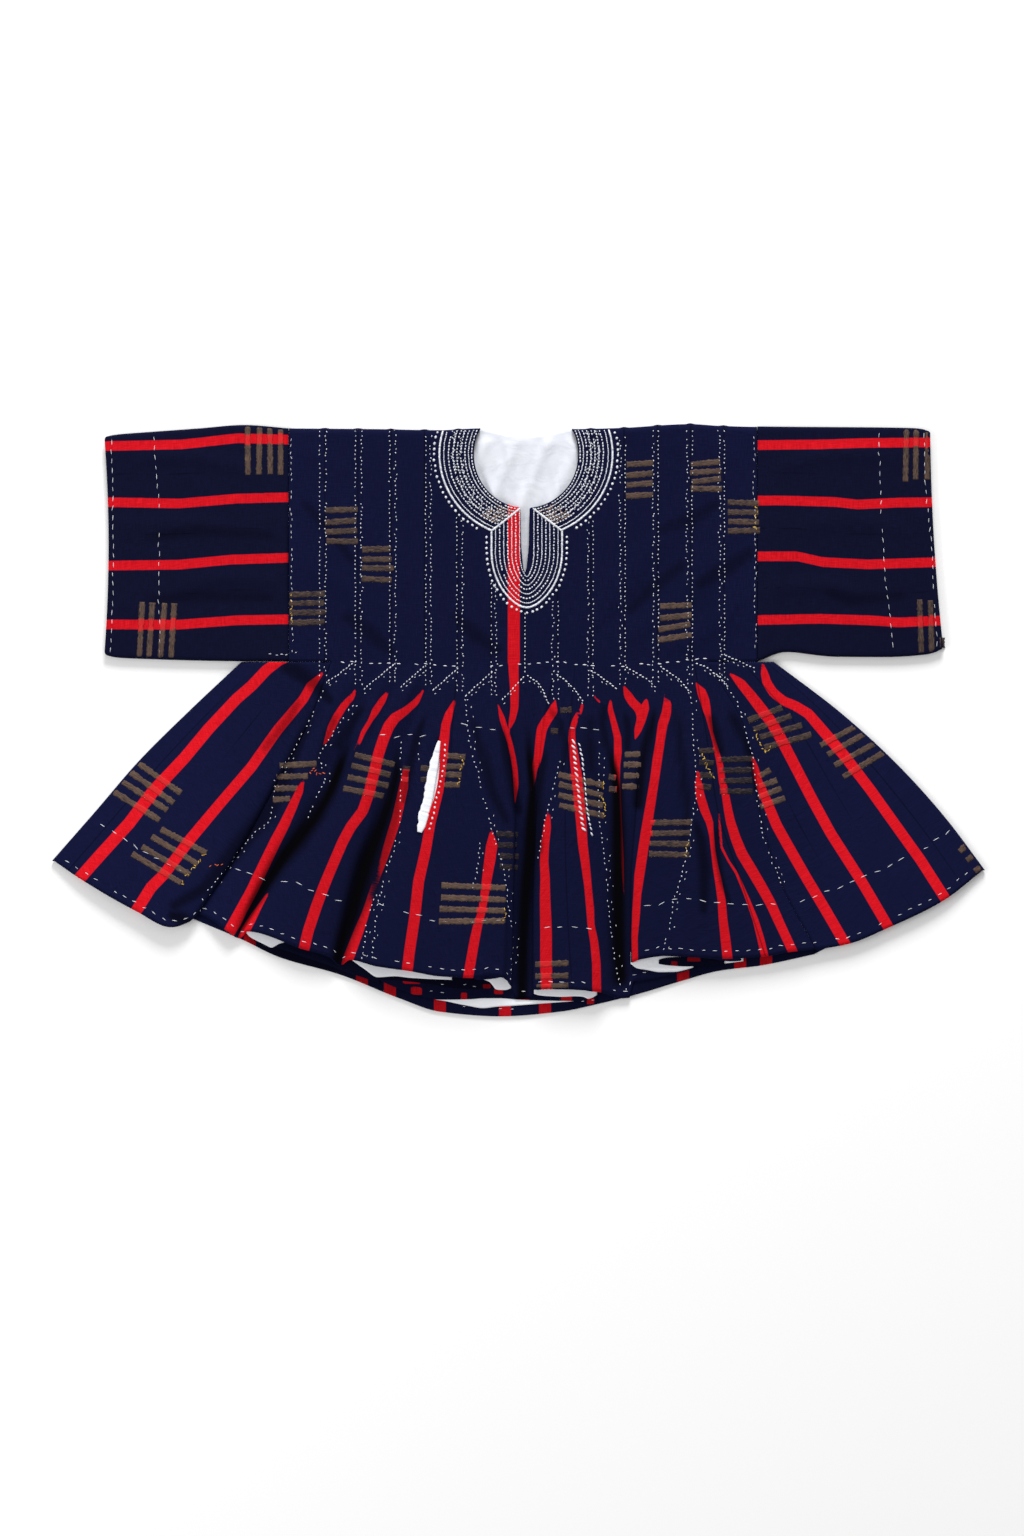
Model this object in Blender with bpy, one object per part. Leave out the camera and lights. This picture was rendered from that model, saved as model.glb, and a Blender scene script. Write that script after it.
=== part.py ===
"""A strip-woven smock laid flat on its back, front up.

The frame has its origin under the middle of the garment, +X to the viewer's right as the front is
looked at, +Y towards the shoulders and +Z up from the surface. Tables are in millimetres and meshes
in metres.

The front is one sheet of cloth from side fold to side fold. Each row of RAILS is a line that runs
down the skirt from the waist to the hem: a woven stripe, a seam, the top of a flute or the floor of
a fold. The sheet is a monotone cubic through the rails, and every wall is that sheet moved out to
both sides.
"""
import math

import bmesh
import bpy
import numpy as np

# Driving sizes, in millimetres
MM = 0.001
CLOTH = 1.5
LINING = 1.0
GAP = 0.3
SEAM = 0.4
WAIST_Y = 82.0
BODY_Z = 9.25
SIDE_RADIUS = 2.6
PLEAT_FIRST_X = -271.0
PLEAT_PITCH = 46.5
PLEAT_COUNT = 13
PLEAT_HEIGHT = 1.6
PLEAT_HALF_WIDTH = 0.16
CENTRE_LINE = 6
ARMHOLE_LEFT_X = -321.3
ARMHOLE_RIGHT_X = 333.9
COLUMN_STEP = 21.0
PLEAT_STEP = 12.0
SKIRT_ROWS = 16
BODICE_ROWS = 7
UNDER_COLUMNS = 7
FOLD_COLUMNS = 6
HEM_TURN = 18.0
LINING_FIRST_ROW = 12
LINING_GAP = 0.5

# Cloth colours, linear
NAVY = (0.010, 0.012, 0.055, 1.0)
NAVY_SLEEVE = (0.012, 0.013, 0.050, 1.0)
WHITE = (0.78, 0.80, 0.86, 1.0)

# Lines down the skirt, from the left fold to the right fold. "waist" is a place along the waist,
# in pleats from the first one for the front panel and in millimetres for the gores. x25 to x75
# are places a quarter, half and three quarters of the way down to the hem, which is at x_hem,
# y_hem. z25, z50 and z_hem are heights of the middle of the cloth.
RAIL_COLUMNS = ("waist", "x25", "x50", "x75", "x_hem", "y_hem", "z25", "z50", "z_hem")
LEFT_GORE = {
    "edge_left": (-387.0, -461.0, -531.0, -591.0, -652.0, -196.5, 6.0, 6.0, 6.0),
    "stripe_a1": (-334.0, -412.0, -479.5, -545.0, -610.0, -223.0, 9.0, 10.0, 11.0),
    "stripe_a2": (-275.0, -327.0, -388.5, -465.5, -534.0, -266.5, 11.0, 13.0, 15.0),
    "crest_a": (-269.5, -311.5, -364.5, -434.5, -485.0, -289.0, 11.0, 14.0, 17.0),
    "drop_a": (-266.0, -300.5, -349.5, -398.5, -458.5, -280.5, 10.0, 12.0, 14.0),
}
FRONT = {
    "seam_left": (0.20, -294.5, -341.0, -390.0, -448.5, -271.0, 8.0, 7.0, 6.5),
    "stripe_b": (1.00, -262.5, -310.0, -355.0, -404.0, -296.0, 11.0, 11.5, 14.0),
    "valley_bc": (1.25, -236.0, -271.0, -335.5, -391.5, -304.5, 8.0, 6.5, 6.0),
    "stripe_c_low": (2.00, -216.5, -261.0, -320.0, -380.0, -294.5, 12.0, 9.0, 10.0),
    "stripe_c": (3.00, -182.5, -215.0, -265.0, -302.5, -318.5, 13.0, 16.0, 19.0),
    "flank_c": (3.20, -168.5, -202.5, -237.5, -262.5, -331.0, 10.0, 13.0, 15.0),
    "valley_cd": (3.40, -157.5, -191.0, -228.0, -250.0, -342.5, 8.5, 7.0, 6.0),
    "stripe_d1": (3.50, -149.0, -167.5, -196.5, -236.5, -334.0, 10.0, 13.0, 14.0),
    "crest_d_left": (3.70, -124.0, -143.5, -171.5, -196.5, -343.5, 13.0, 17.0, 21.0),
    "stripe_d2": (3.90, -103.0, -118.5, -142.0, -154.0, -349.5, 14.0, 20.0, 24.0),
    "crest_d": (4.00, -94.5, -89.0, -96.0, -112.5, -356.5, 15.0, 20.5, 25.0),
    "stripe_d3": (4.10, -83.5, -54.0, -47.0, -68.5, -359.0, 15.8, 20.5, 25.0),
    "seam_d": (4.20, -68.0, -40.5, -20.0, -24.0, -360.5, 17.0, 20.0, 23.0),
    "fold_d": (4.75, -17.0, -5.0, -7.5, -9.0, -370.5, 13.8, 14.2, 12.5),
    "stripe_c2": (5.00, -12.5, -8.5, -20.5, -28.5, -381.5, 11.0, 10.7, 9.2),
    "tuck_d": (5.25, -8.0, -12.0, -42.5, -59.5, -384.0, 8.4, 8.2, 7.4),
    "stripe_centre": (5.75, -1.0, -0.5, 0.5, 1.5, -390.0, 7.2, 6.5, 5.6),
    "tuck_e": (6.30, 16.0, 31.5, 72.0, 100.0, -385.0, 8.3, 8.3, 7.4),
    "stripe_e0": (6.85, 27.0, 28.0, 51.0, 70.5, -382.5, 10.2, 10.7, 9.2),
    "fold_e": (7.00, 37.0, 24.5, 20.5, 20.5, -376.0, 12.5, 15.0, 12.5),
    "stripe_e1": (7.20, 66.5, 43.0, 38.0, 40.0, -374.5, 14.5, 18.5, 19.0),
    "crest_e": (7.60, 71.0, 65.0, 68.0, 75.0, -377.5, 13.0, 19.0, 21.0),
    "stripe_e2": (7.85, 76.5, 87.5, 98.5, 109.0, -378.5, 12.5, 17.5, 19.0),
    "seam_e": (8.00, 112.5, 114.0, 122.5, 122.5, -381.5, 10.0, 12.0, 12.0),
    "valley_eg": (8.25, 126.5, 129.5, 133.5, 139.5, -388.5, 8.0, 6.5, 5.6),
    "stripe_f1": (8.80, 138.0, 143.5, 170.0, 230.5, -373.0, 8.5, 6.8, 5.6),
    "tuck_g": (9.00, 153.5, 172.5, 254.0, 312.0, -339.0, 8.6, 8.3, 7.4),
    "stripe_f2": (9.75, 163.0, 168.5, 205.0, 240.0, -342.0, 10.8, 10.7, 9.2),
    "fold_g": (10.00, 173.0, 164.5, 157.5, 157.5, -338.0, 12.5, 14.0, 12.5),
    "stripe_g1": (10.30, 198.0, 182.0, 169.0, 168.0, -334.0, 14.5, 18.5, 18.5),
    "seam_g": (10.85, 243.5, 245.5, 225.5, 198.0, -328.5, 13.0, 17.0, 19.5),
    "stripe_h1": (11.00, 252.0, 260.0, 281.0, 290.5, -332.5, 12.0, 15.0, 17.0),
    "stripe_h2": (11.10, 262.5, 278.0, 311.5, 345.0, -329.5, 12.0, 14.0, 15.0),
    "stripe_h3": (11.20, 272.5, 290.0, 332.0, 383.0, -322.5, 13.0, 14.0, 15.0),
    "seam_right": (11.50, 318.5, 335.5, 363.5, 415.0, -320.0, 10.0, 11.0, 12.0),
}
RIGHT_GORE = {
    "stripe_i1": (271.0, 324.0, 349.5, 399.5, 458.5, -313.0, 10.0, 10.5, 11.0),
    "stripe_i2": (288.0, 359.0, 402.0, 452.0, 518.5, -289.0, 11.5, 11.0, 11.0),
    "stripe_i3": (338.0, 416.5, 478.0, 537.0, 594.5, -251.5, 9.5, 9.5, 9.5),
    "edge_right": (356.5, 452.0, 531.5, 597.0, 652.0, -209.5, 6.0, 6.0, 6.0),
}

# Where the cloth doubles back: the fold that bulges right, the next one, which bulges left, and half
# the height of each, negative where the cloth goes down through it
LAPS = (
    ("fold_d", "tuck_d", -3.3, -1.8),
    ("tuck_e", "fold_e", 1.8, 3.3),
    ("tuck_g", "fold_g", 1.8, 3.3),
)

# The back's hem, which shows below the front's: the place across and the place down
BACK_HEM = {
    "x": (-652.0, -585.0, -501.0, -446.0, -400.0, -334.0, -250.0, -166.0, -110.0, -26.0, 58.0,
          114.0, 170.0, 226.0, 282.0, 338.0, 394.0, 450.0, 519.0, 594.0, 652.0),
    "y": (-196.5, -226.0, -264.0, -287.0, -300.5, -331.0, -355.0, -388.5, -407.0, -413.5, -407.0,
          -395.5, -381.5, -364.5, -349.5, -342.5, -331.0, -317.0, -286.5, -246.0, -209.5),
}
BACK_SEAM_X = {"left": (-262.5, -404.0), "right": (264.0, 415.0)}

# The shoulder line, along the width
SHOULDER = {
    "x": (-321.3, -200.0, -111.0, -54.0, 72.0, 140.0, 240.0, 282.0, 333.9),
    "y": (409.0, 408.0, 406.5, 409.0, 408.0, 409.5, 415.0, 412.5, 411.0),
}

# The neck opening: a round hole and the slit below it, and the heights between which they are cut
NECK = {"x": 10.5, "y": 372.0, "half_width": 73.0, "depth": 75.0, "past_middle": 0.5}
SLIT = {"x": 9.0, "half_width": 6.5, "bottom_y": 207.0, "tip_half_width": 2.0, "tip_height": 4.0}
NECK_CUT = (1.6, 40.0)
BACK_NECK = {"from_x": -52.5, "to_x": 71.5, "dip": 10.0}

# The open pocket slit: its line down the skirt and its widest half width
POCKET = {"top": (-111.0, -24.0), "bottom": (-139.0, -160.0), "half_width": 5.5, "bow": 6.0}
POCKET_CUT = (5.0, 60.0)
POCKET_BAG = {"first": "stripe_c", "last": "crest_d", "first_row": 3, "last_row": 9,
              "depth": 1.6}

# Columns of the bodice beyond the skirt's, from each armhole in to it
ARMHOLE_COLUMNS = {"left": (-305.0, -290.0, -278.0, -271.0), "right": (287.0, 296.0, 305.5, 324.0)}

# Sleeves, one row for each section from the armhole to the cuff
SLEEVE_COLUMNS = ("top_x", "top_y", "bottom_x", "bottom_y")
SLEEVE_LEFT = (
    (-321.7, 408.8, -321.7, 82.6),
    (-384.0, 413.5, -384.0, 82.6),
    (-446.0, 408.8, -446.0, 83.5),
    (-512.0, 404.0, -512.0, 85.5),
    (-558.0, 400.5, -558.0, 87.5),
    (-579.0, 397.5, -579.0, 91.0),
)
SLEEVE_RIGHT = (
    (334.3, 411.5, 334.3, 82.6),
    (380.0, 411.0, 376.0, 95.5),
    (443.0, 410.6, 443.0, 89.0),
    (506.0, 410.1, 513.0, 88.5),
    (555.0, 409.0, 569.0, 92.0),
    (575.5, 405.5, 594.0, 99.0),
)
CUFF_HOLLOW = {"left": 6.0, "right": -4.0}
SLEEVE_STEP_ROWS = 10


def column(table, columns, name):
    """One named column of a table as an array, a value for each row."""
    rows = table.values() if isinstance(table, dict) else table
    return np.array([row[columns.index(name)] for row in rows], dtype=float)


def monotone(knots, values, places):
    """Cubic through the knots along the last axis, with the harmonic mean of the two slopes at
    each knot and none where they change sign, so that it never swings past a knot."""
    width = np.diff(knots)
    slope = np.diff(values, axis=-1) / width
    left, right = slope[..., :-1], slope[..., 1:]
    weight_left = 2 * width[1:] + width[:-1]
    weight_right = width[1:] + 2 * width[:-1]
    same = left * right > 0
    safe_left = np.where(same, left, 1.0)
    safe_right = np.where(same, right, 1.0)
    inner = (weight_left + weight_right) / (weight_left / safe_left + weight_right / safe_right)
    inner = np.where(same, inner, 0.0)
    ends = (slope[..., :1], inner, slope[..., -1:])
    tangent = np.concatenate(ends, axis=-1)
    index = np.clip(np.searchsorted(knots, places, side="right") - 1, 0, len(knots) - 2)
    part = (places - knots[index]) / width[index]
    low, high = values[..., index], values[..., index + 1]
    step = width[index]
    return ((1 + 2 * part) * (1 - part) ** 2 * low
            + part * (1 - part) ** 2 * step * tangent[..., index]
            + part ** 2 * (3 - 2 * part) * high
            + part ** 2 * (part - 1) * step * tangent[..., index + 1])


def smoothstep(low, high, value):
    """0 below low, 1 above high, and a soft S between."""
    part = np.clip((value - low) / (high - low), 0.0, 1.0)
    return part * part * (3 - 2 * part)


def pleat_x(place):
    """The place across of a number of pleats from the first."""
    return PLEAT_FIRST_X + PLEAT_PITCH * place


def rail_place(name, down):
    """One rail's places x, y and z at each share of the way down."""
    table = next(table for table in (LEFT_GORE, FRONT, RIGHT_GORE) if name in table)
    cell = dict(zip(RAIL_COLUMNS, table[name]))
    waist = pleat_x(cell["waist"]) if table is FRONT else cell["waist"]
    across = np.array((waist, cell["x25"], cell["x50"], cell["x75"], cell["x_hem"]))
    height = np.array((BODY_Z, cell["z25"], cell["z50"], cell["z_hem"]))
    x = monotone(np.array([0, 0.25, 0.5, 0.75, 1.0]), across, down)
    y = WAIST_Y + (cell["y_hem"] - WAIST_Y) * down
    z = monotone(np.array([0, 0.25, 0.5, 1.0]), height, down)
    return x, y, z


def rail_lines(down):
    """The rails at each share of the way down, as names and an array (rows, rails, 3).

    Each pair of LAPS is a fold that bulges right and the next one, which bulges left. Each of them
    becomes three rails: the layer before the fold, the fold, and the layer after it. Where the
    right one lies left of the other the three are side by side, and the further it passes it, the
    further the layers lie over each other."""
    turns = {}
    for right, left, rise_right, rise_left in LAPS:
        lap = rail_place(right, down)[0] - rail_place(left, down)[0]
        turns[right] = (1, rise_right, lap)
        turns[left] = (-1, rise_left, lap)
    reach = 1.0 + 5.0 * smoothstep(0.05, 0.9, down)
    names, lines = [], []
    for name in [*LEFT_GORE, *FRONT, *RIGHT_GORE]:
        x, y, z = rail_place(name, down)
        if name not in turns:
            names.append(name)
            lines.append(np.stack((x, y, z), axis=-1))
            continue
        side, rise, lap = turns[name]
        rise = rise * (0.1 + 0.9 * smoothstep(-24.0, 4.0, lap))
        doubled = -np.clip(0.4 * lap, -reach, reach)
        before = x - (reach if side > 0 else doubled)
        after = x + (doubled if side > 0 else reach)
        names += [name + "_before", name, name + "_after"]
        lines.append(np.stack((before, y, z - rise), axis=-1))
        lines.append(np.stack((x, y, z), axis=-1))
        lines.append(np.stack((after, y, z + rise), axis=-1))
    return names, np.stack(lines, axis=1)


def directions(grid, axis):
    """Unit directions along one way of a grid: at each point the mean of the unit steps before and
    after it, so that a short step beside a long one counts as much."""
    step = np.diff(grid, axis=axis)
    step /= np.linalg.norm(step, axis=-1, keepdims=True)
    first = np.take(step, [0], axis=axis)
    last = np.take(step, [-1], axis=axis)
    return np.concatenate((first, step), axis=axis) + np.concatenate((step, last), axis=axis)


def grid_normals(grid):
    """Unit normals of a grid (rows, columns, 3), square to its directions both ways."""
    normal = np.cross(directions(grid, 0), directions(grid, 1))
    return normal / np.linalg.norm(normal, axis=-1, keepdims=True)


def back_hem_y(x):
    """Height down the sheet of the back's hem at a place across."""
    return monotone(np.array(BACK_HEM["x"]), np.array(BACK_HEM["y"]), x)


def under_half(down, side, lines):
    """The gore's part under the back, from the back seam out to the side fold, and the fold.

    The fold is a half circle from the flat part up to the outermost rail."""
    steps = np.linspace(0.0, 1.0, UNDER_COLUMNS)
    edge = lines[:, 0 if side == "left" else -1]
    waist_x, hem_x = BACK_SEAM_X[side]
    seam_x = waist_x + (hem_x - waist_x) * down
    seam_y = WAIST_Y + (back_hem_y(np.array([hem_x]))[0] - WAIST_Y) * down
    sign = 1.0 if side == "left" else -1.0
    turn_x = edge[:, 0] + sign * SIDE_RADIUS
    x = seam_x[:, None] + (turn_x - seam_x)[:, None] * steps
    y = seam_y[:, None] + (edge[:, 1] - seam_y)[:, None] * steps
    flat = np.stack((x, y, np.full_like(x, CLOTH / 2)), axis=-1)
    angle = np.linspace(0.0, math.pi, FOLD_COLUMNS + 2)[1:-1]
    fold_x = turn_x[:, None] - sign * SIDE_RADIUS * np.sin(angle)
    fold_z = CLOTH / 2 + SIDE_RADIUS * (1 - np.cos(angle))
    fold_y = np.repeat(edge[:, 1:2], len(angle), axis=1)
    fold = np.stack((fold_x, fold_y, np.repeat(fold_z[None], len(down), axis=0)), axis=-1)
    lines[:, 0 if side == "left" else -1, 0] = turn_x
    lines[:, 0 if side == "left" else -1, 2] = CLOTH / 2 + 2 * SIDE_RADIUS
    return np.concatenate((flat, fold), axis=1)


def skirt_sheet(down):
    """The middle of the cloth from back seam to back seam, and the column of each rail."""
    names, lines = rail_lines(down)
    under_left = under_half(down, "left", lines)
    under_right = under_half(down, "right", lines)[:, ::-1]
    hem = lines[-1][:, (0, 2)]
    knots = np.concatenate(([0.0], np.cumsum(np.linalg.norm(np.diff(hem, axis=0), axis=1))))
    lapped = []
    for right, left, _, _ in LAPS:
        lapped += names[names.index(right + "_before"):names.index(left + "_after") + 1]
    places, at = [0.0], {names[0]: 0}
    for index in range(1, len(knots)):
        hem_step = (knots[index] - knots[index - 1]) / COLUMN_STEP
        waist_step = (lines[0, index, 0] - lines[0, index - 1, 0]) / PLEAT_STEP
        inside_lap = names[index - 1] in lapped and names[index] in lapped
        count = 1 if inside_lap else max(1, round(hem_step), round(waist_step))
        places += list(np.linspace(knots[index - 1], knots[index], count + 1)[1:])
        at[names[index]] = len(places) - 1
    places = np.array(places)
    front = np.stack([monotone(knots, lines[..., axis], places) for axis in range(3)], axis=-1)
    shift = under_left.shape[1]
    at = {name: place + shift for name, place in at.items()}
    return np.concatenate((under_left, front, under_right), axis=1), at


def pleat_ridge(x):
    """Height of the sewn tucks at places across: a soft ridge on each pleat but the middle one,
    where the line is a plain seam."""
    place = (x - PLEAT_FIRST_X) / PLEAT_PITCH
    nearest = np.round(place)
    inside = (nearest >= 0) & (nearest < PLEAT_COUNT) & (nearest != CENTRE_LINE)
    shape = 1.0 - smoothstep(0.0, PLEAT_HALF_WIDTH, np.abs(place - nearest))
    return PLEAT_HEIGHT * shape * inside


def bodice_sheet(x, down_rows):
    """The flat upper front: rows from the shoulder to the waist, rolled down at the shoulder."""
    top = monotone(np.array(SHOULDER["x"]), np.array(SHOULDER["y"]), x)
    share = np.linspace(0.0, 1.0, down_rows)
    radius = BODY_Z - CLOTH - GAP
    roll_y = top - CLOTH / 2 - radius
    y = roll_y[None] + (WAIST_Y - roll_y)[None] * share[:, None]
    flat = np.stack((np.repeat(x[None], down_rows, axis=0), y, np.full_like(y, BODY_Z)), axis=-1)
    flat_normal = np.zeros_like(flat)
    flat_normal[..., 2] = 1.0
    angle = np.linspace(0.0, math.pi / 2, 4)[:-1]
    roll = np.empty((len(angle), len(x), 3))
    roll[..., 0] = x
    roll[..., 1] = roll_y[None] + radius * np.cos(angle)[:, None]
    roll[..., 2] = BODY_Z - radius + radius * np.sin(angle)[:, None]
    roll_normal = np.zeros_like(roll)
    roll_normal[..., 1] = np.cos(angle)[:, None]
    roll_normal[..., 2] = np.sin(angle)[:, None]
    return np.concatenate((roll, flat)), np.concatenate((roll_normal, flat_normal))


def material(name, colour, roughness):
    """A plain cloth finish."""
    result = bpy.data.materials.new(name)
    result.use_nodes = True
    shader = result.node_tree.nodes["Principled BSDF"]
    shader.inputs["Base Color"].default_value = colour
    shader.inputs["Roughness"].default_value = roughness
    shader.inputs["Metallic"].default_value = 0.0
    return result


def add_object(name, mesh, finish, collection):
    """A named object of one mesh, at the origin."""
    mesh.materials.append(finish)
    result = bpy.data.objects.new(name, mesh)
    collection.objects.link(result)
    return result


def wall(name, outer, inner, finish, collection, kept=None, wrap=False):
    """A closed wall between two grids (rows, columns, 3), outer and inner.

    kept says which cells of the grid are there. Each is two triangles, parted the same way on both
    faces. Every edge with a cell on one side only gets a strip from the outer grid to the inner
    one. wrap joins the last column to the first."""
    rows, columns = outer.shape[:2]
    across = columns if wrap else columns - 1
    if kept is None:
        kept = np.ones((rows - 1, across), dtype=bool)
    number = np.arange(rows * columns).reshape(rows, columns)
    shift = rows * columns
    faces = []
    edges = {}
    for row, col in zip(*np.nonzero(kept)):
        right = (col + 1) % columns
        ring = [number[row, col], number[row + 1, col], number[row + 1, right], number[row, right]]
        for corners in ((0, 1, 2), (0, 2, 3)):
            triangle = [int(ring[corner]) for corner in corners]
            faces.append(triangle)
            faces.append([v + shift for v in reversed(triangle)])
        for start, end in zip(ring, ring[1:] + ring[:1]):
            if (end, start) in edges:
                del edges[(end, start)]
            else:
                edges[(start, end)] = True
    faces += [[int(b), int(a), int(a) + shift, int(b) + shift] for a, b in edges]
    points = np.concatenate((outer.reshape(-1, 3), inner.reshape(-1, 3))) * MM
    used = sorted({v for face in faces for v in face})
    renumber = {old: new for new, old in enumerate(used)}
    mesh = bpy.data.meshes.new(name)
    mesh.from_pydata(points[used].tolist(), [], [[renumber[v] for v in face] for face in faces])
    mesh.update()
    mesh.validate()
    mesh.shade_smooth()
    mesh.set_sharp_from_angle(angle=math.radians(50))
    return add_object(name, mesh, finish, collection)


def flat_piece(name, outline, bottom, thickness, finish, collection):
    """A flat sheet of one outline, as a filled curve thickened to both sides."""
    curve = bpy.data.curves.new(name, "CURVE")
    curve.dimensions = "2D"
    curve.fill_mode = "BOTH"
    curve.extrude = thickness * MM / 2
    spline = curve.splines.new("POLY")
    spline.points.add(len(outline) - 1)
    height = (bottom + thickness / 2) * MM
    for point, (x, y) in zip(spline.points, outline):
        point.co = (x * MM, y * MM, 0.0, 1.0)
    spline.use_cyclic_u = True
    result = add_object(name, curve, finish, collection)
    result.location.z = height
    return result


def prism(name, outline, bottom, top, collection):
    """An upright cutter of one outline."""
    mesh = bpy.data.meshes.new(name)
    form = bmesh.new()
    ring = [form.verts.new((x * MM, y * MM, bottom * MM)) for x, y in outline]
    face = form.faces.new(ring)
    side = bmesh.ops.extrude_face_region(form, geom=[face])
    raised = [item for item in side["geom"] if isinstance(item, bmesh.types.BMVert)]
    bmesh.ops.translate(form, verts=raised, vec=(0, 0, (top - bottom) * MM))
    bmesh.ops.recalc_face_normals(form, faces=form.faces)
    form.to_mesh(mesh)
    form.free()
    result = bpy.data.objects.new(name, mesh)
    result.hide_render = True
    result.display_type = "WIRE"
    collection.objects.link(result)
    return result


def cut(target, cutter):
    """Take the cutter out of the target."""
    modifier = target.modifiers.new("cut_" + cutter.name, "BOOLEAN")
    modifier.operation = "DIFFERENCE"
    modifier.solver = "EXACT"
    modifier.object = cutter


def neck_outline():
    """The neck hole, an ellipse that closes in again towards the shoulders, with the tapering slit
    at its bottom."""
    turn = np.linspace(math.pi - NECK["past_middle"], 2 * math.pi + NECK["past_middle"], 33)
    x = NECK["x"] + NECK["half_width"] * np.cos(turn)
    y = NECK["y"] + NECK["depth"] * np.sin(turn)
    left = [(a, b) for a, b in zip(x, y) if a < SLIT["x"] - SLIT["half_width"]]
    right = [(a, b) for a, b in zip(x, y) if a > SLIT["x"] + SLIT["half_width"]]
    mouth = NECK["y"] - NECK["depth"]
    side = [
        (SLIT["half_width"], mouth + 1.0),
        (0.8 * SLIT["half_width"], 0.4 * mouth + 0.6 * SLIT["bottom_y"]),
        (SLIT["tip_half_width"], SLIT["bottom_y"] + SLIT["tip_height"]),
    ]
    slit = ([(SLIT["x"] - half, y) for half, y in side] + [(SLIT["x"], SLIT["bottom_y"])]
            + [(SLIT["x"] + half, y) for half, y in reversed(side)])
    above = max(SHOULDER["y"]) + 20.0
    return left + slit + right + [(x[-1], above), (x[0], above)]


def pocket_outline():
    """The open slit, a lens along a bowed line."""
    share = np.linspace(0.0, 1.0, 9)
    (x0, y0), (x1, y1) = POCKET["top"], POCKET["bottom"]
    x = x0 + (x1 - x0) * share + POCKET["bow"] * np.sin(math.pi * share)
    y = y0 + (y1 - y0) * share
    half = POCKET["half_width"] * np.sin(math.pi * share)
    left = list(zip(x - half, y))
    right = list(zip(x + half, y))
    return left + right[-2:0:-1]


def body_outline(inset, hem_rise, top_inset):
    """The back's outline: shoulders and neck, armhole sides, waist, side seams and hem."""
    shoulder_x = np.array(SHOULDER["x"])
    shoulder_x[0], shoulder_x[-1] = ARMHOLE_LEFT_X + inset, ARMHOLE_RIGHT_X - inset
    shoulder = [(x, y - top_inset) for x, y in zip(shoulder_x, SHOULDER["y"])]
    left = [point for point in shoulder if point[0] <= BACK_NECK["from_x"]]
    right = [point for point in shoulder if point[0] >= BACK_NECK["to_x"]]
    share = np.linspace(0.0, 1.0, 9)[1:-1]
    dip_x = left[-1][0] + (right[0][0] - left[-1][0]) * share
    dip_y = left[-1][1] - BACK_NECK["dip"] * np.sin(math.pi * share)
    hem_left, hem_right = BACK_SEAM_X["left"][1], BACK_SEAM_X["right"][1]
    low, high = hem_left + inset, hem_right - inset
    hem_x = np.concatenate(([high], [x for x in BACK_HEM["x"][::-1] if low < x < high], [low]))
    hem = list(zip(hem_x, back_hem_y(hem_x) + hem_rise))
    waist_right = (BACK_SEAM_X["right"][0] - inset, WAIST_Y + inset)
    waist_left = (BACK_SEAM_X["left"][0] + inset, WAIST_Y + inset)
    return (left + list(zip(dip_x, dip_y)) + right
            + [(ARMHOLE_RIGHT_X - inset, WAIST_Y + inset), waist_right]
            + hem + [waist_left, (ARMHOLE_LEFT_X + inset, WAIST_Y + inset)])


def sleeve(name, table, hollow, finish, collection):
    """A flat tube: each section is a flattened ring between the lower and the upper edge."""
    share = np.linspace(0.0, 1.0, len(table))
    places = np.linspace(0.0, 1.0, SLEEVE_STEP_ROWS)
    top = np.stack([monotone(share, column(table, SLEEVE_COLUMNS, key), places)
                    for key in ("top_x", "top_y")], axis=-1)
    bottom = np.stack([monotone(share, column(table, SLEEVE_COLUMNS, key), places)
                       for key in ("bottom_x", "bottom_y")], axis=-1)
    radius = (BODY_Z - CLOTH / 2) / 2
    length = np.linalg.norm(top - bottom, axis=-1)
    along = (top - bottom) / length[:, None]
    turn = np.linspace(-math.pi / 2, math.pi / 2, 7)
    flat = np.linspace(0.0, 1.0, 9)[1:-1]
    across, height, out_across, out_height = [], [], [], []
    middle = CLOTH / 2 + radius
    inner = radius + CLOTH / 2
    for angle in turn:
        across.append((length - inner) + radius * math.cos(angle))
        height.append(middle + radius * math.sin(angle))
        out_across.append(math.cos(angle))
        out_height.append(math.sin(angle))
    for part in flat:
        across.append((length - inner) * (1 - part) + inner * part)
        height.append(BODY_Z)
        out_across.append(0.0)
        out_height.append(1.0)
    for angle in turn[::-1]:
        across.append(inner - radius * math.cos(angle))
        height.append(middle + radius * math.sin(angle))
        out_across.append(-math.cos(angle))
        out_height.append(math.sin(angle))
    for part in flat[::-1]:
        across.append((length - inner) * (1 - part) + inner * part)
        height.append(CLOTH / 2)
        out_across.append(0.0)
        out_height.append(-1.0)
    across = np.stack([np.broadcast_to(a, length.shape) for a in across], axis=-1)
    share_across = across / length[:, None]
    bulge = hollow * places ** 2
    grid = np.empty(across.shape + (3,))
    grid[..., 0] = bottom[:, :1] + along[:, :1] * across
    grid[..., 0] += bulge[:, None] * (1 - (2 * share_across - 1) ** 2)
    grid[..., 1] = bottom[:, 1:] + along[:, 1:] * across
    grid[..., 2] = np.array(height)
    normal = np.zeros_like(grid)
    normal[..., :2] = along[:, None] * np.array(out_across)[None, :, None]
    normal[..., 2] = np.array(out_height)
    outer = grid + normal * CLOTH / 2
    inside = grid - normal * CLOTH / 2
    if name.endswith("right"):
        outer, inside = outer[:, ::-1], inside[:, ::-1]
    return wall(name, outer, inside, finish, collection, wrap=True)


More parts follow.
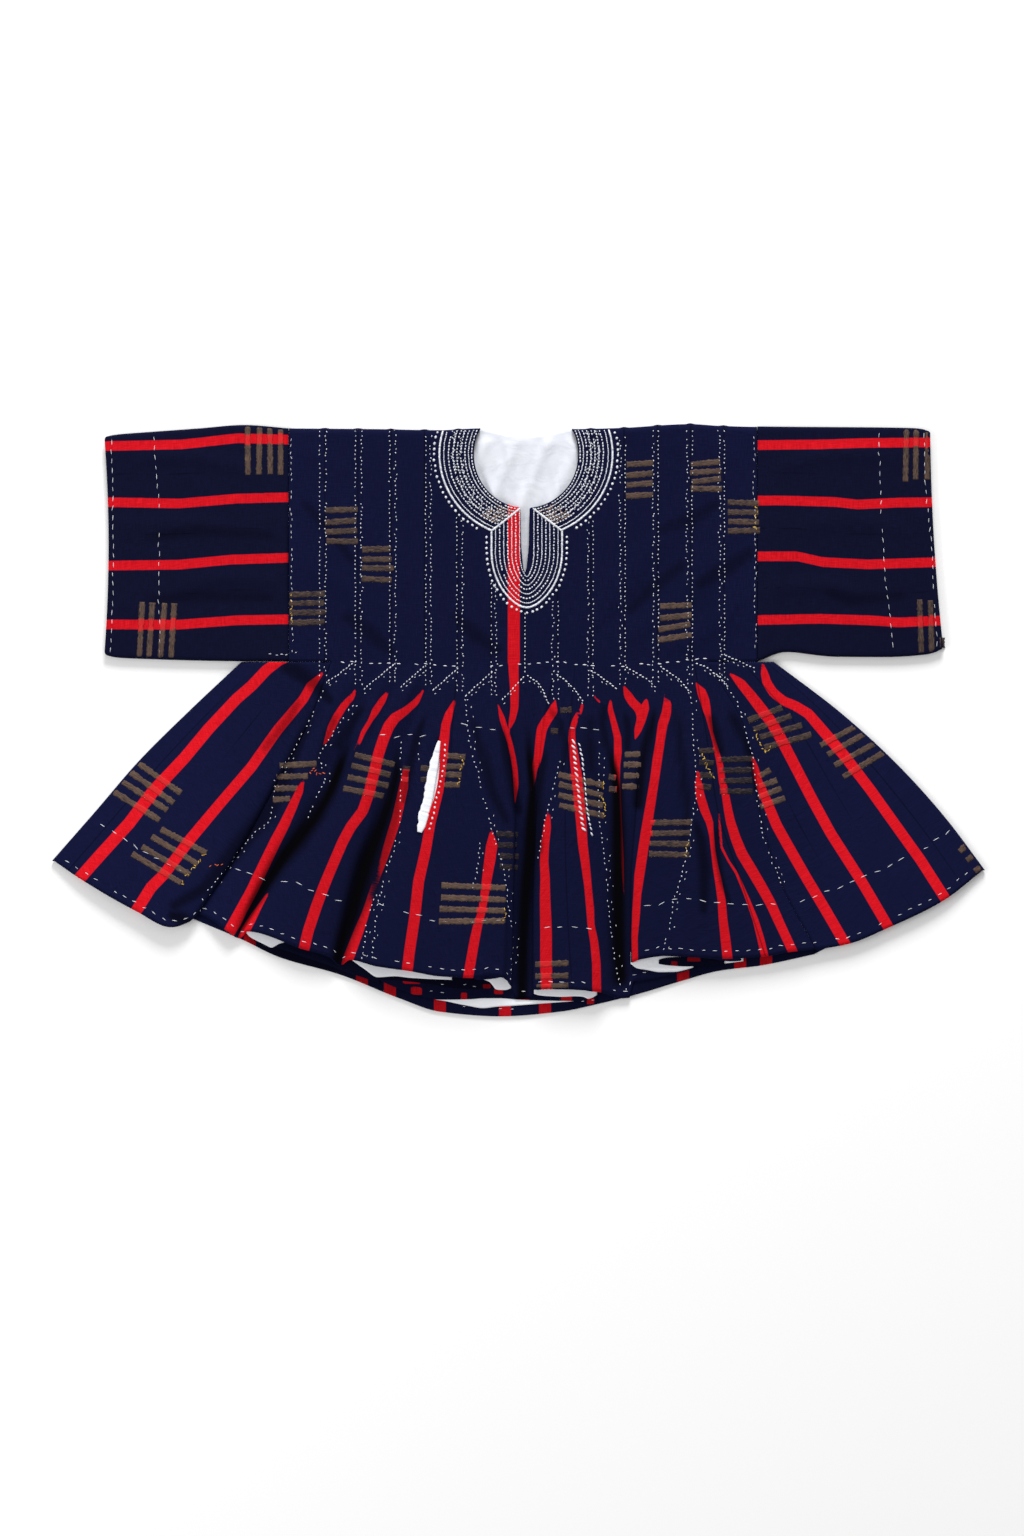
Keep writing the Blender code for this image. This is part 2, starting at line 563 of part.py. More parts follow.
def build():
    """Every piece of the smock, in its collection."""
    for item in list(bpy.data.objects):
        bpy.data.objects.remove(item, do_unlink=True)
    garment = bpy.data.collections.new("strip_woven_smock")
    cutters = bpy.data.collections.new("cutters")
    bpy.context.scene.collection.children.link(garment)
    bpy.context.scene.collection.children.link(cutters)
    navy = material("navy_strip_cloth", NAVY, 0.85)
    navy_sleeve = material("navy_sleeve_cloth", NAVY_SLEEVE, 0.85)
    white = material("white_lining_cotton", WHITE, 0.8)

    down = np.linspace(0.0, 1.0, SKIRT_ROWS)
    belt, at = skirt_sheet(down)
    normal = grid_normals(belt)
    first, last = at["seam_left"], at["seam_right"]
    lo, hi = at["edge_left"], at["edge_right"]
    normal[0, lo + 1:hi] = (0.0, 0.0, 1.0)
    normal[:, :UNDER_COLUMNS] = (0.0, 0.0, -1.0)
    normal[:, -UNDER_COLUMNS:] = (0.0, 0.0, -1.0)

    def side_gore(name, columns, seam_shift):
        sheet = belt[:, columns].copy()
        sheet[:, 0, 0] += seam_shift
        sheet[:, -1, 0] += seam_shift
        sheet[0, :, 1] -= SEAM
        out = normal[:, columns]
        return wall(name, sheet + out * CLOTH / 2, sheet - out * CLOTH / 2, navy, garment)

    side_gore("side_gore_left", slice(0, first + 1), -SEAM / 2)
    side_gore("side_gore_right", slice(last, belt.shape[1]), SEAM / 2)

    skirt = belt[:, first:last + 1].copy()
    skirt[:, 0, 0] += SEAM / 2
    skirt[:, -1, 0] -= SEAM / 2
    skirt_normal = normal[:, first:last + 1]
    left_x = np.array((ARMHOLE_LEFT_X + SEAM / 2, *ARMHOLE_COLUMNS["left"]))
    right_x = np.array((*ARMHOLE_COLUMNS["right"], ARMHOLE_RIGHT_X - SEAM / 2))
    all_x = np.concatenate((left_x, skirt[0, :, 0], right_x))
    upper, upper_normal = bodice_sheet(all_x, BODICE_ROWS)
    lower_shape = (SKIRT_ROWS - 1, len(all_x), 3)
    lower, lower_normal = np.zeros(lower_shape), np.zeros(lower_shape)
    span = slice(len(left_x), len(left_x) + skirt.shape[1])
    lower[:, span] = skirt[1:]
    lower_normal[:, span] = skirt_normal[1:]
    sheet = np.concatenate((upper, lower))
    out = np.concatenate((upper_normal, lower_normal))
    kept = np.ones((len(sheet) - 1, len(all_x) - 1), dtype=bool)
    kept[len(upper) - 1:, :span.start] = False
    kept[len(upper) - 1:, span.stop - 1:] = False
    fade = np.concatenate((np.ones(len(upper)), 1.0 - smoothstep(0.0, 0.16, down[1:])))
    ridge = pleat_ridge(all_x)[None] * fade[:, None]
    outer = sheet + out * (CLOTH / 2 + ridge)[..., None]
    front = wall("front_panel", outer, sheet - out * CLOTH / 2, navy, garment, kept=kept)
    cut(front, prism("neck_cutter", neck_outline(), *NECK_CUT, cutters))
    cut(front, prism("pocket_cutter", pocket_outline(), *POCKET_CUT, cutters))

    def under_layer(name, rows, columns, depth, sheet, out):
        """A white sheet made of the front's own points, moved inwards."""
        middle = sheet[rows, columns] - out[rows, columns] * depth
        wall(name, middle + out[rows, columns] * LINING / 2,
             middle - out[rows, columns] * LINING / 2, white, garment)

    hem_share = HEM_TURN * (SKIRT_ROWS - 1) / (WAIST_Y - back_hem_y(np.array([0.0]))[0])
    trimmed, trimmed_normal = belt.copy(), normal.copy()
    trimmed[-1] = belt[-1] + (belt[-2] - belt[-1]) * hem_share
    trimmed_normal[-1] = normal[-1] + (normal[-2] - normal[-1]) * hem_share
    trimmed_normal[-1] /= np.linalg.norm(trimmed_normal[-1], axis=-1, keepdims=True)
    under_layer("front_lining", slice(LINING_FIRST_ROW, None), slice(first + 1, last),
                CLOTH / 2 + LINING_GAP + LINING / 2, trimmed, trimmed_normal)
    under_layer("pocket_left", slice(POCKET_BAG["first_row"], POCKET_BAG["last_row"] + 1),
                slice(at[POCKET_BAG["first"]], at[POCKET_BAG["last"]] + 1),
                POCKET_BAG["depth"], belt, normal)

    sleeve("sleeve_left", SLEEVE_LEFT, CUFF_HOLLOW["left"], navy_sleeve, garment)
    sleeve("sleeve_right", SLEEVE_RIGHT, CUFF_HOLLOW["right"], navy_sleeve, garment)
    flat_piece("back_panel", body_outline(SEAM / 2, 0.0, 0.0), 0.0, CLOTH, navy, garment)
    flat_piece("back_lining", body_outline(3.0, HEM_TURN, 5.0), CLOTH + GAP, LINING, white, garment)


build()
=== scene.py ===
import math

import bmesh
import bpy
import numpy as np
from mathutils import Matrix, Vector
from mathutils.bvhtree import BVHTree


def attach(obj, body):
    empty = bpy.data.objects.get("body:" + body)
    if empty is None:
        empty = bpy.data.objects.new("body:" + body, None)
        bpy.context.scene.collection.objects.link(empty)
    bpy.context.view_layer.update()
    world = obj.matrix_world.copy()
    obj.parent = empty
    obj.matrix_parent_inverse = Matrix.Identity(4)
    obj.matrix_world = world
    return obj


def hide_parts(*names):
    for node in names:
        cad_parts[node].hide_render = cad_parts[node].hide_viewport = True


# The finish of a strip-woven smock laid flat on its back, front up. Tables are in millimetres or,
# where they say so, in the photograph's pixels. Meshes are in metres, in the frame of the solids:
# +X to the viewer's right, +Y to the shoulders, +Z up.
#
# Every cloth is the middle surface of its solid on a fine grid, with the creases added, and gets
# its thickness from a modifier. Stripes are attributes that hold the distance to the stripe's
# edge. Sewing and woven bars are thin pieces of their own that lie on the cloth.
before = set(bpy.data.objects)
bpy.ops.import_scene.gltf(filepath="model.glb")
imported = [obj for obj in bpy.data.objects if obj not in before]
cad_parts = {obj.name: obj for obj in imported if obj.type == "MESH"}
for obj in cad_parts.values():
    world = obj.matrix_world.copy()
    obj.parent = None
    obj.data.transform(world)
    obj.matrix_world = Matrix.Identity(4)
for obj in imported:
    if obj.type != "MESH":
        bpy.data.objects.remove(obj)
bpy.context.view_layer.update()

# Driving sizes, in millimetres, with a millimetre itself in metres. A pleat's half width is a share
# of the pitch, and HEM_TURN_CUT is the turned hem's depth with its roll let out.
MM = 0.001
CLOTH = 1.5
CLOTH_SHOWN = 1.2
LINING_SHOWN = 0.5
FACING_SHOWN = 0.8
LINING_DEPTH = 1.15
POCKET_DEPTH = 1.5
TURN_DEPTH = 2.1
TURN_RADIUS = 1.05
HEM_TURN = 18.0
HEM_TURN_CUT = 23.4
HEM_LINING_RISE = 10.0
HEM_STITCH_RISE = 10.5
HEM_LIFT_MOST = 22.0
WAIST_Y = 82.0
BODY_Z = 9.25
SIDE_RADIUS = 2.6
PLEAT_FIRST_X = -271.0
PLEAT_PITCH = 46.5
PLEAT_COUNT = 13
PLEAT_HEIGHT = 1.2
PLEAT_HALF_WIDTH = 0.16
CENTRE_LINE = 6
ARMHOLE_LEFT_X = -321.3
ARMHOLE_RIGHT_X = 333.9
SEAM = 0.4
GAP = 0.3
GATHER_HEIGHT = 3.0
SWELL_HEIGHT = 0.16
CUFF_ROUND = 6.0
BACK_CUT = (819.0, 860.0)
BACK_LINING_CUT = (813.0, 810.0)

# Shares of the way down the skirt: the top of the lining's band, and both ends of the pocket bag
LINING_FROM = 0.7
POCKET_BAG_ROWS = (0.19, 0.62)

# Steps of the shown cloth's grids in millimetres, and their counts of rows and columns. The flat
# sheets' rows are those of the bodice and of the skirt.
HEM_STEP = 5.5
WAIST_STEP = 3.6
SLIT_STEP = 1.8
SKIRT_ROWS = 84
BODICE_ROWS = 62
ROLL_ROWS = 5
UNDER_COLUMNS = 24
FOLD_COLUMNS = 10
SLEEVE_ROWS = 60
BACK_COLUMNS = 120
BACK_SIDE_COLUMNS = 12
BACK_ROWS = (40, 60)
BACK_LINING_ROWS = (70, 40)

# The map of the cloth's relief in millimetres: its step, its half size and the height that its rays
# start from, the lowest place of a bar and of a stitch, and the distance where no stripe or seam is
MAP_STEP = 2.0
MAP_HALF_X = 660.0
MAP_HALF_Y = 420.0
MAP_RAY_Z = 90.0
LOWEST_BAR = 3.0
LOWEST_STITCH = 2.2
FAR = 50.0

# Painted shade, as the share of the light that cloth loses in the neck, on the sleeves and over the
# middle of the skirt, with the places across between which the last one ends
NECK_SHADE = 0.3
SLEEVE_SHADE = 0.16
MIDDLE_SHADE = 0.2
MIDDLE_SHADE_ENDS = (250.0, 480.0)

# The back where it shows below the front hem, by places across in photograph pixels: the middles of
# its stripes, and the painted shade where it lies under the front's hem
BACK_HEM_MARKS = (250, 362, 390, 440, 505, 545, 683, 740, 766)
BACK_SHADE = ((235, 0.3), (255, 0.75), (330, 0.75), (400, 0.5), (480, 0.35), (610, 0.35),
              (690, 0.55), (760, 0.4))

# The yarn's pitch as drawn, and the length of one wave of the texture at scale 1, in metres
WEAVE_PITCH = 0.0017
WAVE_PERIOD = 0.314

# Camera, whose frame is the photograph's longer side, in millimetres, and floor and lights, in
# metres: each light's name, place, size and watts
CAMERA = {"x": -9.1, "y": -66.5, "height": 6000.0, "frame": 2150.4, "sensor": 36.0}
FLOOR_HALF = 9.0
FLOOR_Z = -0.0004
ROOM_LIGHT = 0.5
LIGHTS = (
    ("window_light", (0.4, 5.2, 2.5), 2.0, 355.0),
    ("fill_light", (-3.4, -0.8, 2.8), 2.0, 60.0),
)

# Lines down the skirt, from the left fold to the right fold. "waist" is a place along the waist,
# in pleats from the first one for the front panel and in millimetres for the gores. x25 to x75
# are places a quarter, half and three quarters of the way down to the hem, which is at x_hem,
# y_hem. z25, z50 and z_hem are heights of the middle of the cloth.
RAIL_COLUMNS = ("waist", "x25", "x50", "x75", "x_hem", "y_hem", "z25", "z50", "z_hem")
LEFT_GORE = {
    "edge_left": (-387.0, -461.0, -531.0, -591.0, -652.0, -196.5, 6.0, 6.0, 6.0),
    "stripe_a1": (-334.0, -412.0, -479.5, -545.0, -610.0, -223.0, 9.0, 10.0, 11.0),
    "stripe_a2": (-275.0, -327.0, -388.5, -465.5, -534.0, -266.5, 11.0, 13.0, 15.0),
    "crest_a": (-269.5, -311.5, -364.5, -434.5, -485.0, -289.0, 11.0, 14.0, 17.0),
    "drop_a": (-266.0, -300.5, -349.5, -398.5, -458.5, -280.5, 10.0, 12.0, 14.0),
}
FRONT = {
    "seam_left": (0.20, -294.5, -341.0, -390.0, -448.5, -271.0, 8.0, 7.0, 6.5),
    "stripe_b": (1.00, -262.5, -310.0, -355.0, -404.0, -296.0, 11.0, 11.5, 14.0),
    "valley_bc": (1.25, -236.0, -271.0, -335.5, -391.5, -304.5, 8.0, 6.5, 6.0),
    "stripe_c_low": (2.00, -216.5, -261.0, -320.0, -380.0, -294.5, 12.0, 9.0, 10.0),
    "stripe_c": (3.00, -182.5, -215.0, -265.0, -302.5, -318.5, 13.0, 16.0, 19.0),
    "flank_c": (3.20, -168.5, -202.5, -237.5, -262.5, -331.0, 10.0, 13.0, 15.0),
    "valley_cd": (3.40, -157.5, -191.0, -228.0, -250.0, -342.5, 8.5, 7.0, 6.0),
    "stripe_d1": (3.50, -149.0, -167.5, -196.5, -236.5, -334.0, 10.0, 13.0, 14.0),
    "crest_d_left": (3.70, -124.0, -143.5, -171.5, -196.5, -343.5, 13.0, 17.0, 21.0),
    "stripe_d2": (3.90, -103.0, -118.5, -142.0, -154.0, -349.5, 14.0, 20.0, 24.0),
    "crest_d": (4.00, -94.5, -89.0, -96.0, -112.5, -356.5, 15.0, 20.5, 25.0),
    "stripe_d3": (4.10, -83.5, -54.0, -47.0, -68.5, -359.0, 15.8, 20.5, 25.0),
    "seam_d": (4.20, -68.0, -40.5, -20.0, -24.0, -360.5, 17.0, 20.0, 23.0),
    "fold_d": (4.75, -17.0, -5.0, -7.5, -9.0, -370.5, 13.8, 14.2, 12.5),
    "stripe_c2": (5.00, -12.5, -8.5, -20.5, -28.5, -381.5, 11.0, 10.7, 9.2),
    "tuck_d": (5.25, -8.0, -12.0, -42.5, -59.5, -384.0, 8.4, 8.2, 7.4),
    "stripe_centre": (5.75, -1.0, -0.5, 0.5, 1.5, -390.0, 7.2, 6.5, 5.6),
    "tuck_e": (6.30, 16.0, 31.5, 72.0, 100.0, -385.0, 8.3, 8.3, 7.4),
    "stripe_e0": (6.85, 27.0, 28.0, 51.0, 70.5, -382.5, 10.2, 10.7, 9.2),
    "fold_e": (7.00, 37.0, 24.5, 20.5, 20.5, -376.0, 12.5, 15.0, 12.5),
    "stripe_e1": (7.20, 66.5, 43.0, 38.0, 40.0, -374.5, 14.5, 18.5, 19.0),
    "crest_e": (7.60, 71.0, 65.0, 68.0, 75.0, -377.5, 13.0, 19.0, 21.0),
    "stripe_e2": (7.85, 76.5, 87.5, 98.5, 109.0, -378.5, 12.5, 17.5, 19.0),
    "seam_e": (8.00, 112.5, 114.0, 122.5, 122.5, -381.5, 10.0, 12.0, 12.0),
    "valley_eg": (8.25, 126.5, 129.5, 133.5, 139.5, -388.5, 8.0, 6.5, 5.6),
    "stripe_f1": (8.80, 138.0, 143.5, 170.0, 230.5, -373.0, 8.5, 6.8, 5.6),
    "tuck_g": (9.00, 153.5, 172.5, 254.0, 312.0, -339.0, 8.6, 8.3, 7.4),
    "stripe_f2": (9.75, 163.0, 168.5, 205.0, 240.0, -342.0, 10.8, 10.7, 9.2),
    "fold_g": (10.00, 173.0, 164.5, 157.5, 157.5, -338.0, 12.5, 14.0, 12.5),
    "stripe_g1": (10.30, 198.0, 182.0, 169.0, 168.0, -334.0, 14.5, 18.5, 18.5),
    "seam_g": (10.85, 243.5, 245.5, 225.5, 198.0, -328.5, 13.0, 17.0, 19.5),
    "stripe_h1": (11.00, 252.0, 260.0, 281.0, 290.5, -332.5, 12.0, 15.0, 17.0),
    "stripe_h2": (11.10, 262.5, 278.0, 311.5, 345.0, -329.5, 12.0, 14.0, 15.0),
    "stripe_h3": (11.20, 272.5, 290.0, 332.0, 383.0, -322.5, 13.0, 14.0, 15.0),
    "seam_right": (11.50, 318.5, 335.5, 363.5, 415.0, -320.0, 10.0, 11.0, 12.0),
}
RIGHT_GORE = {
    "stripe_i1": (271.0, 324.0, 349.5, 399.5, 458.5, -313.0, 10.0, 10.5, 11.0),
    "stripe_i2": (288.0, 359.0, 402.0, 452.0, 518.5, -289.0, 11.5, 11.0, 11.0),
    "stripe_i3": (338.0, 416.5, 478.0, 537.0, 594.5, -251.5, 9.5, 9.5, 9.5),
    "edge_right": (356.5, 452.0, 531.5, 597.0, 652.0, -209.5, 6.0, 6.0, 6.0),
}

# Where the cloth doubles back: the fold that bulges right, the next one, which bulges left, and
# half the height of each, negative where the cloth goes down through it
LAPS = (
    ("fold_d", "tuck_d", -3.3, -1.8),
    ("tuck_e", "fold_e", 1.8, 3.3),
    ("tuck_g", "fold_g", 1.8, 3.3),
)

# The back's hem, which shows below the front's: the place across and the place down
BACK_HEM = {
    "x": (-652.0, -585.0, -501.0, -446.0, -400.0, -334.0, -250.0, -166.0, -110.0, -26.0, 58.0,
          114.0, 170.0, 226.0, 282.0, 338.0, 394.0, 450.0, 519.0, 594.0, 652.0),
    "y": (-196.5, -226.0, -264.0, -287.0, -300.5, -331.0, -355.0, -388.5, -407.0, -413.5, -407.0,
          -395.5, -381.5, -364.5, -349.5, -342.5, -331.0, -317.0, -286.5, -246.0, -209.5),
}
BACK_SEAM_X = {"left": (-262.5, -404.0), "right": (264.0, 415.0)}

# The shoulder line, along the width
SHOULDER = {
    "x": (-321.3, -200.0, -111.0, -54.0, 72.0, 140.0, 240.0, 282.0, 333.9),
    "y": (409.0, 408.0, 406.5, 409.0, 408.0, 409.5, 415.0, 412.5, 411.0),
}

# The neck opening: an oval hole and the slit below it
NECK = {"x": 10.5, "y": 372.0, "half_width": 73.0, "depth": 75.0, "past_middle": 0.5}
SLIT = {"x": 9.0, "half_width": 6.5, "bottom_y": 207.0, "tip_half_width": 2.0, "tip_height": 4.0}
BACK_NECK = {"from_x": -52.5, "to_x": 71.5, "dip": 10.0}

# The open pocket slit: its line down the skirt, its widest half width and how far it bows
POCKET = {"top": (-111.0, -24.0), "bottom": (-139.0, -160.0), "half_width": 5.5, "bow": 6.0}

# Sleeves, one row for each section from the armhole to the cuff: the places of its upper and of
# its lower edge
SLEEVE_LEFT = (
    (-321.7, 408.8, -321.7, 82.6),
    (-384.0, 413.5, -384.0, 82.6),
    (-446.0, 408.8, -446.0, 83.5),
    (-512.0, 404.0, -512.0, 85.5),
    (-558.0, 400.5, -558.0, 87.5),
    (-579.0, 397.5, -579.0, 91.0),
)
SLEEVE_RIGHT = (
    (334.3, 411.5, 334.3, 82.6),
    (380.0, 411.0, 376.0, 95.5),
    (443.0, 410.6, 443.0, 89.0),
    (506.0, 410.1, 513.0, 88.5),
    (555.0, 409.0, 569.0, 92.0),
    (575.5, 405.5, 594.0, 99.0),
)

# How far each cuff's middle stands off the line between its corners
CUFF_HOLLOW = {"left": 6.0, "right": -4.0}

# One pixel of the photograph in millimetres, and the pixel above the origin. Stripes, folds, bars
# and sewing are read off the photograph, so their tables are in its pixels.
PIXEL = 1.4
ORIGIN_PIXEL = (518.5, 720.5)

# Red warp stripes: half their width in millimetres. On the skirt each is a line of places and half
# widths in the photograph's pixels, which narrows where the stripe turns into a fold.
STRIPE_HALF = 8.4
SKIRT_STRIPES = (
    ((289, 658, 3), (278, 662, 5), (267, 670, 5.4), (252, 686, 5.5), (237, 699, 5.5),
     (209, 729, 5.7), (185, 758, 5.8), (154, 791, 6), (130, 823, 6), (100, 856, 6), (70, 890, 6)),
    ((323, 673, 1), (311, 686, 4.4), (304, 699, 4.6), (278, 730, 5), (252, 767, 5.2),
     (222, 802, 5.2), (191, 839, 5.4), (165, 874, 5.4), (152, 887, 5.6), (130, 922, 5.6)),
    ((357, 689, 1), (351, 698, 3), (344, 706, 3.4), (337, 717, 3.6), (332, 727, 3.6),
     (326, 744, 2.2), (323, 752, 0)),
    ((304, 779, 1), (300, 791, 3.6), (293, 807, 4.8), (285, 824, 5.2), (276, 841, 5.4),
     (261, 872, 5.5), (252, 891, 5.5), (230, 931, 5.6), (226, 940, 5.6)),
    ((388, 692, 1), (383, 700, 3.2), (376, 711, 3.6), (371, 720, 2.2), (364, 732, 2.0),
     (360, 742, 1.6), (354, 752, 0)),
    ((268, 894, 1), (259, 908, 2.6), (252, 920, 4), (246, 930, 4.6), (242, 940, 4.6)),
    ((423, 691, 1), (416, 702, 3.2), (404, 712, 4), (395, 718, 4.8), (389, 726, 5.2),
     (384, 738, 5.2), (379, 753, 5.2), (376, 766, 5.2), (369, 794, 5.2), (363, 811, 5.2),
     (351, 827, 5.2), (343, 842, 5.2), (331, 870, 5.2), (324, 887, 5.3), (317, 906, 5.4),
     (309, 930, 5.4), (303, 955, 5.4)),
    ((406, 771, 3), (404, 787, 4.4), (397, 818, 4.6), (391, 837, 4.4), (384, 859, 3.6),
     (378, 876, 2.8), (371, 896, 2.8), (366, 913, 3.6), (360, 929, 4.6), (350, 955, 5.2),
     (347, 964, 5.2)),
    ((455, 701, 1), (449, 715, 4), (446, 726, 4.6), (445, 737, 4.8), (443, 757, 4.6),
     (439, 791, 4.6), (431, 822, 4.8), (426, 850, 5.2), (419, 881, 5.4), (415, 917, 5.4),
     (410, 950, 5.4), (407, 976, 5.4)),
    ((491, 828, 0), (492, 844, 5.6), (490, 859, 5.5), (487, 878, 4.8), (484, 898, 3.9),
     (482, 911, 3.6), (478, 924, 4.4), (475, 938, 4.8), (469, 972, 5), (467, 985, 5)),
    ((498, 705, 0.6), (502, 718, 2.6), (506, 731, 2.6), (510, 744, 2.5), (513, 757, 2.6),
     (515, 770, 2.7), (516, 785, 2.5), (515, 805, 0)),
    ((513.7, 640, 6), (513.5, 668, 5), (514.5, 690, 4.4), (514.5, 708, 3.9), (512, 720, 3.2),
     (509, 730, 0.6)),
    ((555, 699, 0.6), (553, 711, 4.6), (547, 720, 4.6), (542, 729, 4.8), (540, 742, 4.5),
     (538, 757, 4), (534, 772, 3), (532, 790, 1)),
    ((549, 810, 1), (547, 827, 3.8), (545, 844, 4), (544, 861, 4.2), (545, 877, 4.6),
     (545, 898, 5.2), (546, 931, 5.7), (546, 963, 5.8), (547, 995, 5.8)),
    ((583, 703, 0.6), (580, 711, 2.4), (575.5, 719, 2.6), (572, 729, 3), (571.5, 740, 3.6),
     (574, 757, 4.6), (577, 779, 5.2), (579, 800, 5.2), (581, 822, 5.2), (582.5, 844, 4.7),
     (585.5, 866, 4.3), (588, 887, 3.9), (590, 909, 4), (591, 926, 3.6), (594, 942, 4),
     (596, 963, 4.2), (596.5, 998, 4.3)),
    ((592, 693, 0.8), (599, 702, 1.1)),
    ((610.5, 700, 0.8), (610, 709, 2.6), (614, 724, 3), (617.5, 738, 3.6), (617.7, 752, 3.8),
     (617, 766, 3), (617.5, 778, 2.2), (620, 820, 1.6), (622, 858, 1.4), (624, 900, 0)),
    ((624, 687, 1), (627.5, 695, 4), (632, 702, 4.3), (639, 709, 4.5), (641, 716, 4.5)),
    ((646, 701, 2), (644.5, 708, 4.5), (641, 720, 4.5), (637.5, 731, 3.5), (635, 739, 0.5)),
    ((665, 695, 1), (667, 704, 4), (666, 713, 4.6), (662.5, 725, 5), (660, 742, 4.7),
     (657, 760, 4.8), (654.5, 780, 4.8), (651, 800, 5), (645, 835, 5), (642, 855, 5),
     (639, 875, 4.8), (637, 895, 3.7), (636, 912, 3.7), (634.5, 937, 3), (635, 965, 2.8)),
    ((697, 772, 1), (698, 785, 3.6), (700, 797, 4.4), (704, 810, 4.4), (709, 822, 3.6),
     (711, 835, 2.3), (712.5, 850, 2.1), (715, 867, 2.7), (718, 882, 3.4), (721, 900, 4),
     (722.5, 920, 4.3), (725, 940, 4.8), (728, 968, 5)),
    ((718.5, 812, 0.6), (719.5, 830, 1.2), (721, 847, 1.2), (727.5, 860, 1), (736, 873, 1.3),
     (742.5, 888, 1.6), (747.5, 900, 2), (755, 920, 2.8), (760, 938, 3.4), (767, 968, 3.8)),
    ((696, 684, 1), (701, 692, 4.4), (704, 700, 4.6), (706, 708, 4), (708, 716, 2.6),
     (711, 732, 1.4), (714, 743, 1.6), (716.5, 753, 2.4), (719.5, 765, 3), (721.5, 780, 3.3),
     (725, 795, 3.7), (727.5, 810, 4.1), (730, 822, 4.5), (735, 838, 5), (741, 853, 5.3),
     (750, 868, 5.3), (760, 885, 5.2), (770, 903, 5), (779, 923, 4.7), (786, 938, 4.6),
     (798, 964, 4.6)),
    ((752, 756, 0.6), (755, 768, 3), (757.5, 780, 3.6), (762.5, 792, 4.5), (769, 808, 5),
     (776, 825, 5.2), (786, 843, 5.2), (806, 878, 5.2), (824, 908, 5.2), (850, 953, 5.2)),
    ((730, 674, 1), (740, 683, 4.5), (750, 695, 5), (760, 708, 5.4), (770, 721, 5.4),
     (780, 738, 5.4), (794, 765, 5.3), (812, 800, 5.3), (830, 833, 5.2), (862, 883, 5.2),
     (893, 936, 5.2)),
    ((762, 664, 1), (764, 673, 3.6), (766.5, 683, 4.4), (773, 693, 4.5), (783, 701, 4.5),
     (795, 706, 4.8), (808, 714, 5), (820, 728, 5.3), (844, 756, 5.3), (870, 790, 5.2),
     (895, 825, 5.2), (920, 860, 5.2), (950, 907, 5.2)),
)

# Plain seams of the skirt, each midway between two rails
PLAIN_SEAMS = (("edge_left", "stripe_a1"), ("stripe_a1", "stripe_a2"),
               ("stripe_i1", "stripe_i2"), ("stripe_i2", "stripe_i3"), ("stripe_i3", "edge_right"),
               ("stripe_d2", "stripe_d3"), ("stripe_e1", "stripe_e2"), ("stripe_h2", "stripe_h2"))

# The bodice's one stripe in millimetres, and the sleeves' stripes in photograph pixels
BODICE_STRIPE = {"x": -6.6, "from_y": 310.0}
SLEEVE_STRIPE_HALF = 6.7
SLEEVE_STRIPES = {
    "left": (
        ((105, 446.7), (183, 445), (238, 438.7), (292, 440.3)),
        ((105, 502.5), (180, 504), (238, 499), (292, 497.7)),
        ((105, 566), (180, 565), (231, 560), (292, 558)),
        ((105, 624.6), (177, 625), (238, 620.5), (292, 619.5)),
    ),
    "right": (
        ((750, 445.7), (819, 445), (867, 443.5), (940, 442.8)),
        ((750, 501), (787, 501), (835, 502.5), (857, 505), (899, 503), (940, 502.5)),
        ((750, 556.7), (797, 556.7), (822, 562.4), (867, 564.7), (940, 562.4)),
        ((750, 620.5), (819, 619), (867, 620.5), (899, 622.7), (945, 620.5)),
    ),
}

# Creases of the lying cloth, as soft ridges in photograph pixels: two ends, then the width and the
# height in millimetres
CREASES = (
    (735, 520, 610, 650, 16.0, 2.1),
    (690, 500, 585, 600, 18.0, 1.4),
    (640, 560, 560, 640, 14.0, 1.4),
    (745, 590, 665, 655, 15.0, 1.8),
    (330, 500, 420, 600, 20.0, 1.3),
    (300, 560, 385, 640, 16.0, 1.6),
    (455, 560, 500, 640, 15.0, 1.1),
    (300, 450, 350, 480, 14.0, 1.4),
    (700, 440, 745, 470, 14.0, 1.3),
    (130, 460, 270, 480, 12.0, 2.1),
    (120, 530, 250, 540, 14.0, 1.8),
    (170, 590, 285, 585, 12.0, 2.1),
    (125, 600, 180, 650, 12.0, 1.4),
    (775, 470, 900, 460, 12.0, 1.9),
    (790, 530, 920, 535, 14.0, 1.8),
    (770, 590, 880, 600, 13.0, 2.1),
    (850, 620, 930, 640, 12.0, 1.4),
    (262, 470, 285, 640, 10.0, 1.4),
    (768, 470, 764, 640, 10.0, 1.4),
)
